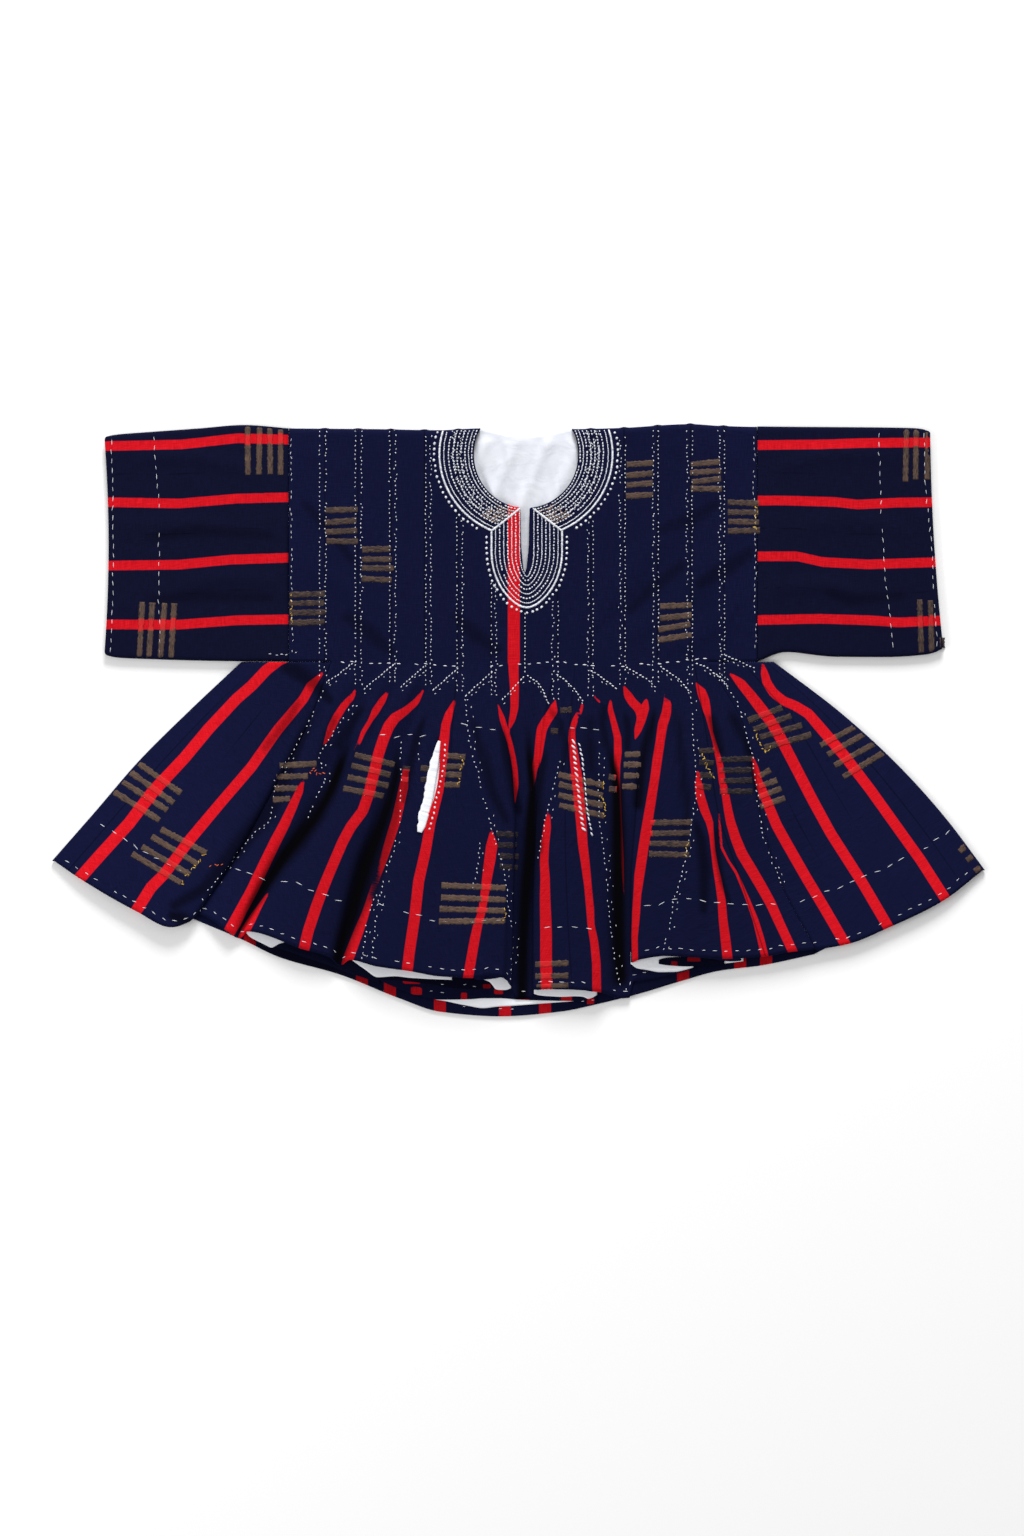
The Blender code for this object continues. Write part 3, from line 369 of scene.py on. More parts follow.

# Folds that swallow the soft light, with painted shade: the strength of the shade, then places on
# the fold's line and half its width there, in photograph pixels
VALLEYS = (
    (1.0, ((352, 735, 3), (340, 768, 5), (331, 790, 6.5), (316, 815, 8.5), (297, 840, 10),
           (281, 860, 9), (268, 880, 7.5), (256, 900, 6.3), (245.5, 920, 4), (239, 932, 3))),
    (1.0, ((398, 742, 3), (397, 775, 5), (391, 800, 7), (382, 826, 9), (374, 845, 11),
           (368, 860, 12), (362, 880, 12), (356, 900, 11.5), (350, 920, 10), (343, 940, 8.5),
           (338, 960, 6.5))),
    (1.0, ((527, 722, 3), (530, 760, 4), (533, 790, 4.5), (531, 820, 6.5), (530, 850, 8),
           (527, 880, 8), (525, 905, 7.5), (523, 940, 7), (522, 1000, 6.5))),
    (1.0, ((606, 735, 3), (613, 765, 4), (617, 790, 6), (618, 830, 7.5), (618, 880, 8.5),
           (618, 930, 8.5), (620, 978, 8))),
    (0.55, ((398, 775, 6), (395, 812, 7), (385, 850, 7), (374, 885, 6), (368, 905, 3))),
    (0.8, ((655, 704, 2), (651, 725, 4), (645, 748, 5), (641, 772, 5), (638, 805, 5))),
    (0.6, ((318, 705, 3), (300, 740, 5), (285, 778, 7), (268, 812, 9), (240, 845, 9),
           (205, 888, 6), (175, 905, 5))),
    (0.75, ((168, 913, 4), (182, 918, 7), (192, 924, 5))),
    (0.7, ((709, 712, 3), (714, 732, 4.5), (719, 752, 3))),
    (0.6, ((716, 820, 3), (716, 850, 3.5), (721, 880, 3), (730, 905, 2))),
    (0.65, ((729, 706, 2), (737, 724, 4), (749, 753, 3.5), (756, 790, 2))),
    (0.6, ((693, 815, 2), (700, 838, 5), (704, 868, 6), (703, 910, 4))),
    (0.6, ((548, 745, 2), (541, 775, 4), (537, 800, 6), (540, 850, 3))),
    (0.55, ((590, 712, 2), (587, 735, 3.5), (593, 765, 4), (600, 800, 3))),
    (0.6, ((427, 712, 2), (417, 738, 4), (409, 770, 5), (404, 800, 4))),
    (0.5, ((470, 712, 2), (480, 745, 4), (492, 790, 5), (506, 820, 4))),
    (0.6, ((500, 722, 2), (505, 745, 4), (510, 775, 4), (518, 810, 5))),
    (0.55, ((366, 705, 3), (352, 722, 5), (340, 745, 5))),
    (0.5, ((336, 712, 3), (328, 738, 4), (318, 765, 3))),
    (0.5, ((605, 702, 3), (602, 722, 4), (606, 745, 3))),
    (0.5, ((625, 712, 3), (628, 730, 4), (627, 748, 3))),
    (0.45, ((676, 706, 3), (680, 745, 4), (686, 800, 4), (684, 840, 3))),
    (0.5, ((546, 706, 2), (560, 722, 3), (566, 745, 3), (562, 770, 2))),
    (0.6, ((278, 664, 4), (296, 671, 8), (314, 683, 7), (330, 700, 4))),
    (0.45, ((302, 698, 3), (288, 720, 5), (266, 748, 4))),
    (0.4, ((757, 548, 5), (728, 568, 8), (700, 584, 5))),
    (0.36, ((722, 500, 4), (690, 520, 7), (660, 530, 4))),
    (0.36, ((690, 560, 4), (650, 590, 7), (630, 610, 4))),
    (0.4, ((452, 612, 4), (474, 634, 8), (498, 650, 5))),
    (0.36, ((342, 612, 4), (368, 632, 8), (390, 650, 5))),
    (0.34, ((300, 500, 4), (330, 530, 6), (352, 560, 4))),
    (0.35, ((820, 590, 4), (850, 600, 6), (900, 596, 4))),
    (0.35, ((140, 540, 4), (200, 530, 6), (270, 536, 4))),
    (0.35, ((140, 602, 4), (200, 596, 6), (270, 598, 4))),
)

# Woven gold bars across the strips: both ends of a block's first and of its last bar, how many
# there are, and how far they have worn off. BAR_SECTION is a bar's section, across as a share of
# the half width and up in millimetres.
BAR_HALF = 4.2
BAR_SECTION = ((-1.0, 0.02), (-0.6, 0.3), (0.0, 0.38), (0.6, 0.3), (1.0, 0.02), (0.0, -0.5))
BARS = (
    ((249, 426), (249, 475), (281, 428), (281, 475), 4, 0.1),
    ((143, 603), (139.5, 658), (175, 603), (171, 658), 4, 0.1),
    ((904.8, 429), (904.8, 481), (926.3, 430), (926.3, 480), 3, 0.15),
    ((919, 601), (921.5, 654), (940, 600), (942, 651), 3, 0.25),
    ((326, 511), (357, 511), (326, 543), (357, 542), 4, 0.26),
    ((362, 549), (392, 549), (362, 580), (393, 580), 4, 0.26),
    ((290, 594), (325, 594), (290, 622.5), (325, 622.5), 4, 0.35),
    ((626, 465.5), (653, 463.5), (626, 496.5), (653, 494.5), 4, 0.15),
    ((691, 464.5), (720, 462.5), (691, 490.5), (720, 488.5), 4, 0.15),
    ((728, 503.5), (759, 503.5), (728, 531.5), (759, 531.5), 4, 0.25),
    ((659, 607.5), (691, 604.5), (659, 640), (691, 636), 4, 0.1),
    ((139, 762), (182, 792), (113, 791), (161, 820), 4, 0.0),
    ((162, 829), (207, 853), (133, 854), (182, 884), 4, 0.0),
    ((281, 765), (317, 764), (273, 800), (290, 799), 4, 0.1),
    ((356, 754), (395, 765), (343, 788), (384, 796), 4, 0.2),
    ((402, 769), (411, 769), (401, 780), (410, 780), 2, 0.6),
    ((421, 768), (430, 768), (420, 779), (429, 779), 2, 0.4),
    ((445, 756), (465, 757), (443, 784), (461, 785), 4, 0.15),
    ((442, 886), (505, 888), (440, 920), (505, 922), 4, 0.0),
    ((496, 834), (517, 834), (502, 866), (519, 868), 4, 0.65),
    ((558, 775), (603, 785), (559, 805), (604, 816), 4, 0.1),
    ((534, 964), (568, 962), (536, 987), (569, 985), 3, 0.15),
    ((560, 711), (571, 710), (550, 732), (558, 732), 2, 0.5),
    ((609, 777), (616, 777), (609, 789), (616, 789), 2, 0.3),
    ((624, 754), (640, 754), (622, 787), (638, 787), 4, 0.0),
    ((650, 822), (692, 822), (648, 854), (688, 854), 4, 0.25),
    ((699, 751), (715, 752), (698, 787), (712, 788), 4, 0.55),
    ((717, 760), (752, 759), (720, 792), (752, 792), 4, 0.6),
    ((757, 776), (771, 770), (760, 808), (786, 798), 4, 0.1),
    ((748, 720), (782, 708), (764, 747), (811, 734), 4, 0.35),
    ((820, 745), (857, 725), (842, 777), (884, 752), 4, 0.1),
    ((959, 851), (967, 844), (973.5, 871.5), (982, 864.5), 3, 0.1),
)

# Loose yarn at the ends of bars: where each tuft runs and whether it is orange-red
TUFTS = (
    ((207, 852), (199, 862), (191, 871), (182, 885), False),
    ((210, 867), (214, 864), (218, 865), (223, 864), True),
    ((309, 773), (314, 768), (318, 775), (325, 772), True),
    ((505, 908), (506, 914), (503, 919), (500, 923), False),
    ((701, 753), (705, 762), (708, 771), (713, 779), False),
    ((754, 731), (760, 744), (765, 752), (770, 746), False),
    ((688, 842), (686, 847), (685, 852), (683, 858), False),
    ((755, 505), (756, 513), (754, 522), (755.5, 531), False),
    ((291.5, 594), (292.5, 604), (291.5, 615), (292.5, 626), False),
    ((604, 780), (602, 795), (605, 807), (604, 818), False),
    ((461, 756), (463, 764), (460, 774), (459, 786), False),
)

# Lines of stitching on the bodice's tucks: both lines' places across and the heights between which
# they run
TUCKS = (
    (320, 326, 430, 682), (355.5, 361.5, 430, 690), (390, 395.5, 430, 688), (426, 431, 435, 691),
    (457, 462.5, 516, 697), (491.5, 496, 582, 701), (558, 553, 600, 705), (593, 588, 520, 702),
    (625, 620, 435, 690), (658, 653, 430, 688), (692, 687, 430, 690), (724, 719.5, 430, 688),
)
CENTRE_TUCK = ((525, 612), (525, 674))

# Zigzag stitching where the tucks end, and how far beside it in millimetres its loose ends lie
ZIGZAG_LOOSE = (1.0, -6.0)
ZIGZAGS = (
    ((328, 682), (357, 661)),
    ((363, 690), (395, 664)),
    ((400, 688), (425, 666)),
    ((432, 691), (459, 668)),
    ((465, 697), (493, 671)),
    ((501, 701), (525, 676)),
    ((526, 675), (537, 682), (543, 690), (549, 705)),
    ((556, 674), (565, 680), (575, 690), (583, 702)),
    ((590, 670), (605, 680), (617, 690)),
    ((625, 667), (645, 678), (656, 688)),
    ((659, 666), (680, 680), (689, 692)),
    ((695, 663), (708, 668), (720, 678), (728, 688)),
    ((720, 654), (735, 660), (745, 664), (755, 669)),
)

# Dotted seams of the skirt, and how far beside them in millimetres their loose ends lie
SEAM_LOOSE = (6.5, 0.0)
SEAMS = (
    ((329, 680), (313, 715), (289, 759), (276, 778), (271, 819), (251, 836), (220, 877),
     (205, 895), (200, 912)),
    ((354, 703), (334, 733), (319, 756), (326, 781), (316, 797), (308, 819)),
    ((396, 838), (393, 855), (388, 865), (385, 880), (381, 892), (373, 900), (368, 920),
     (366, 935), (362, 960)),
    ((381, 892), (377, 915), (374, 935), (373, 960)),
    ((465, 697), (468, 725), (470, 745), (475, 765), (480, 781), (484, 800), (488, 812),
     (491, 828), (498, 850), (505, 875), (508, 905), (511, 925), (513, 940), (512, 962),
     (511, 982)),
    ((480, 840), (478, 865), (475, 880), (472, 890)),
    ((560, 760), (555, 780), (549, 805), (546, 815), (541, 840), (538, 860)),
    ((599, 740), (599, 820), (602, 840), (607, 880), (608, 900), (610, 925), (613, 950),
     (618, 975), (622, 992)),
    ((690, 690), (692, 720), (693, 745), (696, 775), (695, 800), (692, 820), (687, 845),
     (684, 860), (680, 880), (673, 900), (671, 915), (668, 930), (664, 945), (661, 950)),
    ((708, 668), (726, 683), (738, 706), (752, 756), (756, 789), (762.5, 836), (773, 865),
     (781, 885)),
)

# Running stitches that show as dashes
WAIST_DASHES = (
    ((338, 662), (409, 664), (445, 666), (500, 666), (557, 662), (600, 667), (647, 665),
     (710, 658)),
)
SKIRT_DASHES = (
    ((98, 822), (110, 829), (128, 841), (147, 853), (167, 862), (187, 873)),
    ((232, 868), (254, 874), (268, 882)),
    ((278, 880), (296, 881), (308, 889), (328, 895), (345, 904)),
    ((375, 901), (398, 910), (427, 918), (441, 921), (475, 920), (505, 920)),
    ((540, 927), (570, 926.5), (595, 929)),
    ((640, 905), (661, 903), (673, 898), (689, 898), (712, 901), (728, 903), (755, 904.5),
     (780, 903)),
    ((795, 902.5), (818, 895), (840, 886), (864, 876), (888, 867), (905, 857), (925, 846),
     (942, 836), (952, 828)),
    ((377, 735), (430, 735)),
    ((458, 724), (500, 731)),
    ((565, 727), (615, 731)),
)
CUFF_DASHES = (
    ((112, 438), (113.5, 500), (114, 560), (112.5, 620), (111, 655)),
    ((154, 434), (159.6, 506), (159.6, 601), (161, 656)),
    ((923.5, 431), (924, 480), (928, 515), (931, 552), (933, 600), (937, 648)),
    ((878, 431), (880, 506), (884, 575), (889, 615), (893, 650)),
)
ARMHOLE_DASHES = (
    ((291, 438), (291.5, 500), (292, 560), (291.5, 600), (292.5, 630), (293, 655)),
    ((754.5, 435), (753, 485), (755, 517), (755, 560), (754.5, 600), (755, 620), (755, 650)),
    ((268, 654), (283, 656), (300, 653)),
)
HEM_DASHES = (((425, 991), (445, 992), (470, 996)), ((425, 984), (455, 984), (480, 986)),
              ((448, 1003), (470, 1008), (490, 1009), (520, 1008), (560, 1005), (600, 999)))

# The lining pulled out of the open pocket, as places on its line and half its width there, and the
# stitches that hold the pockets' edges, in photograph pixels
POCKET_LIP = ((439.6, 741, 1.2), (437.2, 750, 2.9), (434.2, 765, 4.3), (431.4, 780, 4.7),
              (427.8, 800, 5.1), (423.8, 815, 5.1), (421.4, 826, 4.2), (420, 832, 2.2))
POCKET_EDGE = ((446, 742), (444, 765), (441.3, 780), (436.5, 800), (433.5, 815), (429, 831))
POCKET_SIDES = (
    ((401, 740), (401, 780), (400, 835)),
    ((419, 740), (419, 762)),
)
POCKET_WHIP_LEFT = ((573.5, 739), (575, 760), (578, 790), (581, 815), (584, 832))
POCKET_WHIP_RIGHT = ((579, 742), (582, 760), (585, 785), (587, 810), (592, 836))

# Embroidery round the neck in millimetres: from the hole (0) to the outer cord (1), how each row is
# sewn, and the shares where the tan threads and the border of dots lie
COLLAR = {"centre": (10.5, 372.0), "inner": (73.0, 75.0), "outer": (121.0, 116.0), "top": 406.5,
          "left_inner": 3.5, "left_outer": -37.0, "right_inner": 18.9, "right_outer": 59.5}
COLLAR_ROWS = (
    (0.06, "dots"), (0.155, "chain"), (0.26, "dots"), (0.375, "fuzz"), (0.49, "dots"),
    (0.605, "fuzz"), (0.735, "dots"), (0.875, "chain"),
)
PLACKET = {"centre_x": 11.6, "inner": 6.5, "outer": 49.3, "turn_y": 236.0, "bottom_inner": 205.0,
           "bottom_outer": 157.9, "dots_from": 260.0, "top_y": 296.0, "mitre_slope": 0.73}
PLACKET_ROWS = (
    (0.08, "chain"), (0.21, "dots"), (0.34, "chain"), (0.47, "dots"), (0.60, "chain"),
    (0.735, "dots"), (0.87, "chain"),
)
TAN_SHARES = (0.16, 0.3, 0.42, 0.55, 0.68)
BORDER_SHARE = 1.16

# How each kind of stitch is sewn: the pitch, the length and the width in millimetres, the turn
# away from its row in radians, the scatter in millimetres, the share left out, and the scatter of
# the turn
SEWING = {
    "cord": (1.9, 3.6, 2.9, 0.0, 0.08, 0.0, 0.12),
    "chain": (2.9, 3.2, 1.45, 0.0, 0.15, 0.0, 0.12),
    "dots": (4.3, 3.3, 2.0, 0.0, 0.2, 0.03, 0.12),
    "fuzz_up": (4.6, 4.6, 0.8, 0.9, 1.3, 0.15, 0.12),
    "fuzz_down": (5.4, 4.2, 0.8, -0.7, 1.5, 0.2, 0.12),
    "collar_border": (8.0, 3.9, 3.6, 0.0, 0.4, 0.0, 0.12),
    "placket_border": (7.6, 3.9, 3.6, 0.0, 0.4, 0.0, 0.12),
    "tan_up": (2.6, 3.6, 1.1, 0.8, 1.3, 0.2, 0.12),
    "tan_down": (3.4, 3.2, 1.1, -0.6, 1.3, 0.2, 0.12),
    "tuck_left": (6.4, 2.3, 1.3, 0.0, 0.45, 0.08, 0.5),
    "tuck_right": (5.9, 2.3, 1.3, 0.0, 0.95, 0.08, 0.5),
    "tuck_centre": (5.6, 2.6, 1.5, 0.0, 0.2, 0.0, 0.12),
    "zigzag": (5.2, 3.3, 1.6, 0.25, 0.3, 0.0, 0.12),
    "zigzag_loose": (8.0, 2.6, 1.1, -0.4, 0.8, 0.35, 0.12),
    "waist": (13.0, 5.5, 1.4, 0.0, 0.8, 0.2, 0.12),
    "seam": (7.4, 2.6, 1.3, 0.3, 0.7, 0.1, 0.4),
    "seam_loose": (11.0, 2.4, 1.0, -0.2, 1.1, 0.5, 0.12),
    "deep_hem": (19.0, 9.5, 0.85, 0.0, 0.7, 0.08, 0.12),
    "pocket_edge": (7.4, 3.4, 2.7, 0.6, 0.4, 0.0, 0.12),
    "pocket_side": (7.5, 2.4, 1.3, 0.0, 0.5, 0.15, 0.12),
    "whip_left": (7.6, 8.0, 2.7, 0.7, 0.3, 0.0, 0.12),
    "whip_right": (7.0, 6.0, 2.2, 0.35, 0.3, 0.0, 0.12),
    "hem": (15.5, 6.5, 0.85, 0.0, 0.6, 0.1, 0.12),
    "hem_below": (17.0, 5.0, 0.8, 0.0, 0.8, 0.4, 0.12),
    "cuff": (13.5, 7.2, 0.8, 0.0, 0.5, 0.05, 0.12),
    "armhole": (8.0, 4.0, 0.85, 0.0, 0.7, 0.1, 0.2),
    "tuft": (4.2, 4.4, 1.3, 0.0, 0.9, 0.1, 0.7),
}

# The front hem's edge where it rises clear of the layers below, in photograph pixels
HEM_EDGE = (
    ((352, 960), (370, 964.5), (390, 967.5), (410, 970), (430, 974), (452, 979), (465, 978.5),
     (480, 976.5), (487, 975), (496, 975), (504, 977), (509, 981), (512, 988)),
    ((532, 991), (537, 989), (546, 988.5), (570, 988.5), (585, 989.5), (600, 992.5)),
    ((630, 963), (637, 959.5), (650, 957), (665, 955), (680, 956), (692, 957), (712, 958.5),
     (720, 960), (732, 961), (745, 960)),
)

# Inner layers that show at the hem: whether the lining shows, the height in millimetres, the depth
# of the painted shade, then places across with the upper and lower edge, and the boxes of red on it
HEM_LAYERS = (
    ("back_lining_at_hem", True, 4.2, 0.0,
     ((436, 990, 999.5), (446, 990, 1001), (455, 990, 1003), (470, 990, 1006), (483, 990, 1008),
      (497, 990, 1006.5), (515, 990, 1005.5), (540, 990, 1003.5), (560, 990, 1002),
      (574, 990, 1001)), ()),
    ("inner_hem_left", False, 4.8, 0.6,
     ((272, 925, 941), (279, 925, 948), (290, 925, 952), (310, 930, 959), (328, 935, 965),
      (345, 945, 972), (362, 955, 977), (380, 960, 984)), ()),
    ("front_lining_far_left", True, 5.7, 0.08,
     ((246, 927, 932), (250, 927, 936.5), (255, 927, 939.5), (260, 928, 942), (266, 930, 945),
      (272, 932, 947.5), (276, 934, 945.5), (280, 936, 943.3), (285, 938, 942)), ()),
    ("inner_hem_fold", False, 5.2, 0.45,
     ((372, 966, 974), (380, 968, 980), (395, 968, 987), (410, 970, 993), (425, 970, 997.5),
      (440, 970, 999.5), (470, 970, 999), (485, 970, 998), (500, 975, 998), (520, 980, 999.5),
      (552, 980, 1000.5), (575, 980, 1001), (588, 985, 1004), (597, 985, 1003)),
     ((403, 979, 420, 983.5), (411, 987, 422, 994.5), (461, 992.5, 467, 1000),
      (494, 989, 503, 994), (518, 993, 529, 1002), (561, 995, 572, 1002), (587, 997, 594, 1005))),
    ("inner_hem_roll_left", False, 6.2, 0.75,
     ((378, 966, 979), (400, 968, 980.5), (430, 972, 984), (455, 974, 988), (475, 974, 989),
      (488, 979, 988.5), (493, 982, 987)),
     ((483, 984, 491, 988),)),
    ("front_lining_left", True, 7.6, 0.0,
     ((353, 950, 960.5), (365, 952, 969), (378, 955, 977), (395, 958, 976), (410, 960, 977.5),
      (430, 964, 978.7), (452, 970, 979.5)), ()),
    ("front_lining_turned", True, 7.4, 0.0,
     ((479, 977.2, 978.4), (485, 972, 979.6), (490, 970, 982), (493, 970, 985.5),
      (496, 970, 989.2), (505, 970, 989.8), (511, 974, 988)), ()),
    ("front_lining_middle", True, 7.0, 0.0,
     ((534, 984, 993.5), (539, 980, 995), (550, 980, 996), (562, 980, 996.5), (575, 980, 996),
      (583, 982, 996.5), (588, 984, 998.5), (592, 985, 997.5), (597, 987, 994.5)), ()),
    ("front_lining_right", True, 9.6, 0.0,
     ((630.5, 952, 963.5), (637, 950, 968), (646, 948, 969.5), (660, 946, 971.8),
      (675, 946, 971.5), (685, 946, 969.5), (693, 948, 967)), ()),
    ("inner_hem_roll_right", False, 10.8, 0.7,
     ((658.5, 959.5, 963.5), (662, 958.2, 964.2), (670, 957, 965.2), (685, 956, 966),
      (700, 950, 966), (712, 950, 966), (724, 950, 964.5)),
     ((671, 961, 677, 967), (687, 957, 700, 961))),
    ("front_lining_far_right", True, 9.0, 0.0,
     ((717, 952, 964.2), (724, 952, 963.2), (732, 952, 962.2), (743, 952, 960.8)), ()),
)


def monotone(knots, values, places):
    """Cubic through the knots along the last axis, with the harmonic mean of the two slopes at
    each knot and none where they change sign, so that it never swings past a knot."""
    width = np.diff(knots)
    slope = np.diff(values, axis=-1) / width
    left, right = slope[..., :-1], slope[..., 1:]
    weight_left = 2 * width[1:] + width[:-1]
    weight_right = width[1:] + 2 * width[:-1]
    same = left * right > 0
    safe_left = np.where(same, left, 1.0)
    safe_right = np.where(same, right, 1.0)
    inner = (weight_left + weight_right) / (weight_left / safe_left + weight_right / safe_right)
    inner = np.where(same, inner, 0.0)
    ends = (slope[..., :1], inner, slope[..., -1:])
    tangent = np.concatenate(ends, axis=-1)
    index = np.clip(np.searchsorted(knots, places, side="right") - 1, 0, len(knots) - 2)
    part = (places - knots[index]) / width[index]
    low, high = values[..., index], values[..., index + 1]
    step = width[index]
    return ((1 + 2 * part) * (1 - part) ** 2 * low
            + part * (1 - part) ** 2 * step * tangent[..., index]
            + part ** 2 * (3 - 2 * part) * high
            + part ** 2 * (part - 1) * step * tangent[..., index + 1])


def smoothstep(low, high, value):
    """0 below low, 1 above high, and a soft S between."""
    part = np.clip((value - low) / (high - low), 0.0, 1.0)
    return part * part * (3 - 2 * part)


def pleat_x(place):
    """The place across of a number of pleats from the first."""
    return PLEAT_FIRST_X + PLEAT_PITCH * place


def rail_place(name, down):
    """One rail's places x, y and z at each share of the way down."""
    table = next(table for table in (LEFT_GORE, FRONT, RIGHT_GORE) if name in table)
    cell = dict(zip(RAIL_COLUMNS, table[name]))
    waist = pleat_x(cell["waist"]) if table is FRONT else cell["waist"]
    across = np.array((waist, cell["x25"], cell["x50"], cell["x75"], cell["x_hem"]))
    height = np.array((BODY_Z, cell["z25"], cell["z50"], cell["z_hem"]))
    x = monotone(np.array([0, 0.25, 0.5, 0.75, 1.0]), across, down)
    y = WAIST_Y + (cell["y_hem"] - WAIST_Y) * down
    z = monotone(np.array([0, 0.25, 0.5, 1.0]), height, down)
    return x, y, z


def rail_lines(down):
    """The rails at each share of the way down, as names and an array (rows, rails, 3).

    Each pair of LAPS is a fold that bulges right and the next one, which bulges left. Each of them
    becomes three rails: the layer before the fold, the fold, and the layer after it. Where the
    right one lies left of the other the three are side by side, and the further it passes it, the
    further the layers lie over each other."""
    turns = {}
    for right, left, rise_right, rise_left in LAPS:
        lap = rail_place(right, down)[0] - rail_place(left, down)[0]
        turns[right] = (1, rise_right, lap)
        turns[left] = (-1, rise_left, lap)
    reach = 1.0 + 5.0 * smoothstep(0.05, 0.9, down)
    names, lines = [], []
    for name in [*LEFT_GORE, *FRONT, *RIGHT_GORE]:
        x, y, z = rail_place(name, down)
        if name not in turns:
            names.append(name)
            lines.append(np.stack((x, y, z), axis=-1))
            continue
        side, rise, lap = turns[name]
        rise = rise * (0.1 + 0.9 * smoothstep(-24.0, 4.0, lap))
        doubled = -np.clip(0.4 * lap, -reach, reach)
        before = x - (reach if side > 0 else doubled)
        after = x + (doubled if side > 0 else reach)
        names += [name + "_before", name, name + "_after"]
        lines.append(np.stack((before, y, z - rise), axis=-1))
        lines.append(np.stack((x, y, z), axis=-1))
        lines.append(np.stack((after, y, z + rise), axis=-1))
    return names, np.stack(lines, axis=1)


def run_along(path):
    """Length run along a path up to each of its points."""
    return np.concatenate(([0.0], np.cumsum(np.linalg.norm(np.diff(path, axis=0), axis=1))))


def directions(grid, axis):
    """Unit directions along one way of a grid: at each point the mean of the unit steps before and
    after it, so that a short step beside a long one counts as much."""
    step = np.diff(grid, axis=axis)
    step /= np.linalg.norm(step, axis=-1, keepdims=True)
    first = np.take(step, [0], axis=axis)
    last = np.take(step, [-1], axis=axis)
    return np.concatenate((first, step), axis=axis) + np.concatenate((step, last), axis=axis)


def grid_normals(grid):
    """Unit normals of a grid (rows, columns, 3), square to its directions both ways."""
    normal = np.cross(directions(grid, 0), directions(grid, 1))
    return normal / np.linalg.norm(normal, axis=-1, keepdims=True)


def back_hem_y(x):
    """Height down the sheet of the back's hem at a place across."""
    return monotone(np.array(BACK_HEM["x"]), np.array(BACK_HEM["y"]), x)


def pleat_ridge(x):
    """Height of the sewn tucks at places across: a soft ridge on each pleat but the middle one,
    where the line is a plain seam."""
    place = (x - PLEAT_FIRST_X) / PLEAT_PITCH
    nearest = np.round(place)
    inside = (nearest >= 0) & (nearest < PLEAT_COUNT) & (nearest != CENTRE_LINE)
    shape = 1.0 - smoothstep(0.0, PLEAT_HALF_WIDTH, np.abs(place - nearest))
    return PLEAT_HEIGHT * shape * inside


def neck_outline():
    """The neck hole, an ellipse that closes in again towards the shoulders, with the tapering slit
    at its bottom."""
    turn = np.linspace(math.pi - NECK["past_middle"], 2 * math.pi + NECK["past_middle"], 33)
    x = NECK["x"] + NECK["half_width"] * np.cos(turn)
    y = NECK["y"] + NECK["depth"] * np.sin(turn)
    left = [(a, b) for a, b in zip(x, y) if a < SLIT["x"] - SLIT["half_width"]]
    right = [(a, b) for a, b in zip(x, y) if a > SLIT["x"] + SLIT["half_width"]]
    mouth = NECK["y"] - NECK["depth"]
    side = [
        (SLIT["half_width"], mouth + 1.0),
        (0.8 * SLIT["half_width"], 0.4 * mouth + 0.6 * SLIT["bottom_y"]),
        (SLIT["tip_half_width"], SLIT["bottom_y"] + SLIT["tip_height"]),
    ]
    slit = ([(SLIT["x"] - half, y) for half, y in side] + [(SLIT["x"], SLIT["bottom_y"])]
            + [(SLIT["x"] + half, y) for half, y in reversed(side)])
    above = max(SHOULDER["y"]) + 20.0
    return left + slit + right + [(x[-1], above), (x[0], above)]


def pocket_outline():
    """The open slit, a lens along a bowed line."""
    share = np.linspace(0.0, 1.0, 9)
    (x0, y0), (x1, y1) = POCKET["top"], POCKET["bottom"]
    x = x0 + (x1 - x0) * share + POCKET["bow"] * np.sin(math.pi * share)
    y = y0 + (y1 - y0) * share
    half = POCKET["half_width"] * np.sin(math.pi * share)
    left = list(zip(x - half, y))
    right = list(zip(x + half, y))
    return left + right[-2:0:-1]


def from_photo(points):
    """Places in millimetres of points given in the photograph's pixels."""
    points = np.asarray(points, dtype=float)
    x = (points[..., 0] - ORIGIN_PIXEL[0]) * PIXEL
    y = (ORIGIN_PIXEL[1] - points[..., 1]) * PIXEL
    return np.stack((x, y), axis=-1)


def photo_x(pixels):
    """Places across in millimetres of places across in the photograph's pixels."""
    return (np.array(pixels) - ORIGIN_PIXEL[0]) * PIXEL


def under_half(down, side, lines):
    """A gore's part under the back and its side fold: straight from the back seam to the fold,
    then a half circle up to the outermost rail, which moves onto its end."""
    steps = np.linspace(0.0, 1.0, UNDER_COLUMNS)
    outer, sign = (0, 1.0) if side == "left" else (-1, -1.0)
    edge = lines[:, outer]
    waist_x, hem_x = BACK_SEAM_X[side]
    seam_x = waist_x + (hem_x - waist_x) * down
    seam_y = WAIST_Y + (back_hem_y(np.array([hem_x]))[0] - WAIST_Y) * down
    turn_x = edge[:, 0] + sign * SIDE_RADIUS
    x = seam_x[:, None] + (turn_x - seam_x)[:, None] * steps
    y = seam_y[:, None] + (edge[:, 1] - seam_y)[:, None] * steps
    flat = np.stack((x, y, np.full_like(x, CLOTH / 2)), axis=-1)
    angle = np.linspace(0.0, math.pi, FOLD_COLUMNS + 2)[1:-1]
    fold = np.empty((len(down), FOLD_COLUMNS, 3))
    fold[..., 0] = turn_x[:, None] - sign * SIDE_RADIUS * np.sin(angle)
    fold[..., 1] = edge[:, 1:2]
    fold[..., 2] = CLOTH / 2 + SIDE_RADIUS * (1 - np.cos(angle))
    lines[:, outer, 0] = turn_x
    lines[:, outer, 2] = CLOTH / 2 + 2 * SIDE_RADIUS
    return np.concatenate((flat, fold), axis=1)


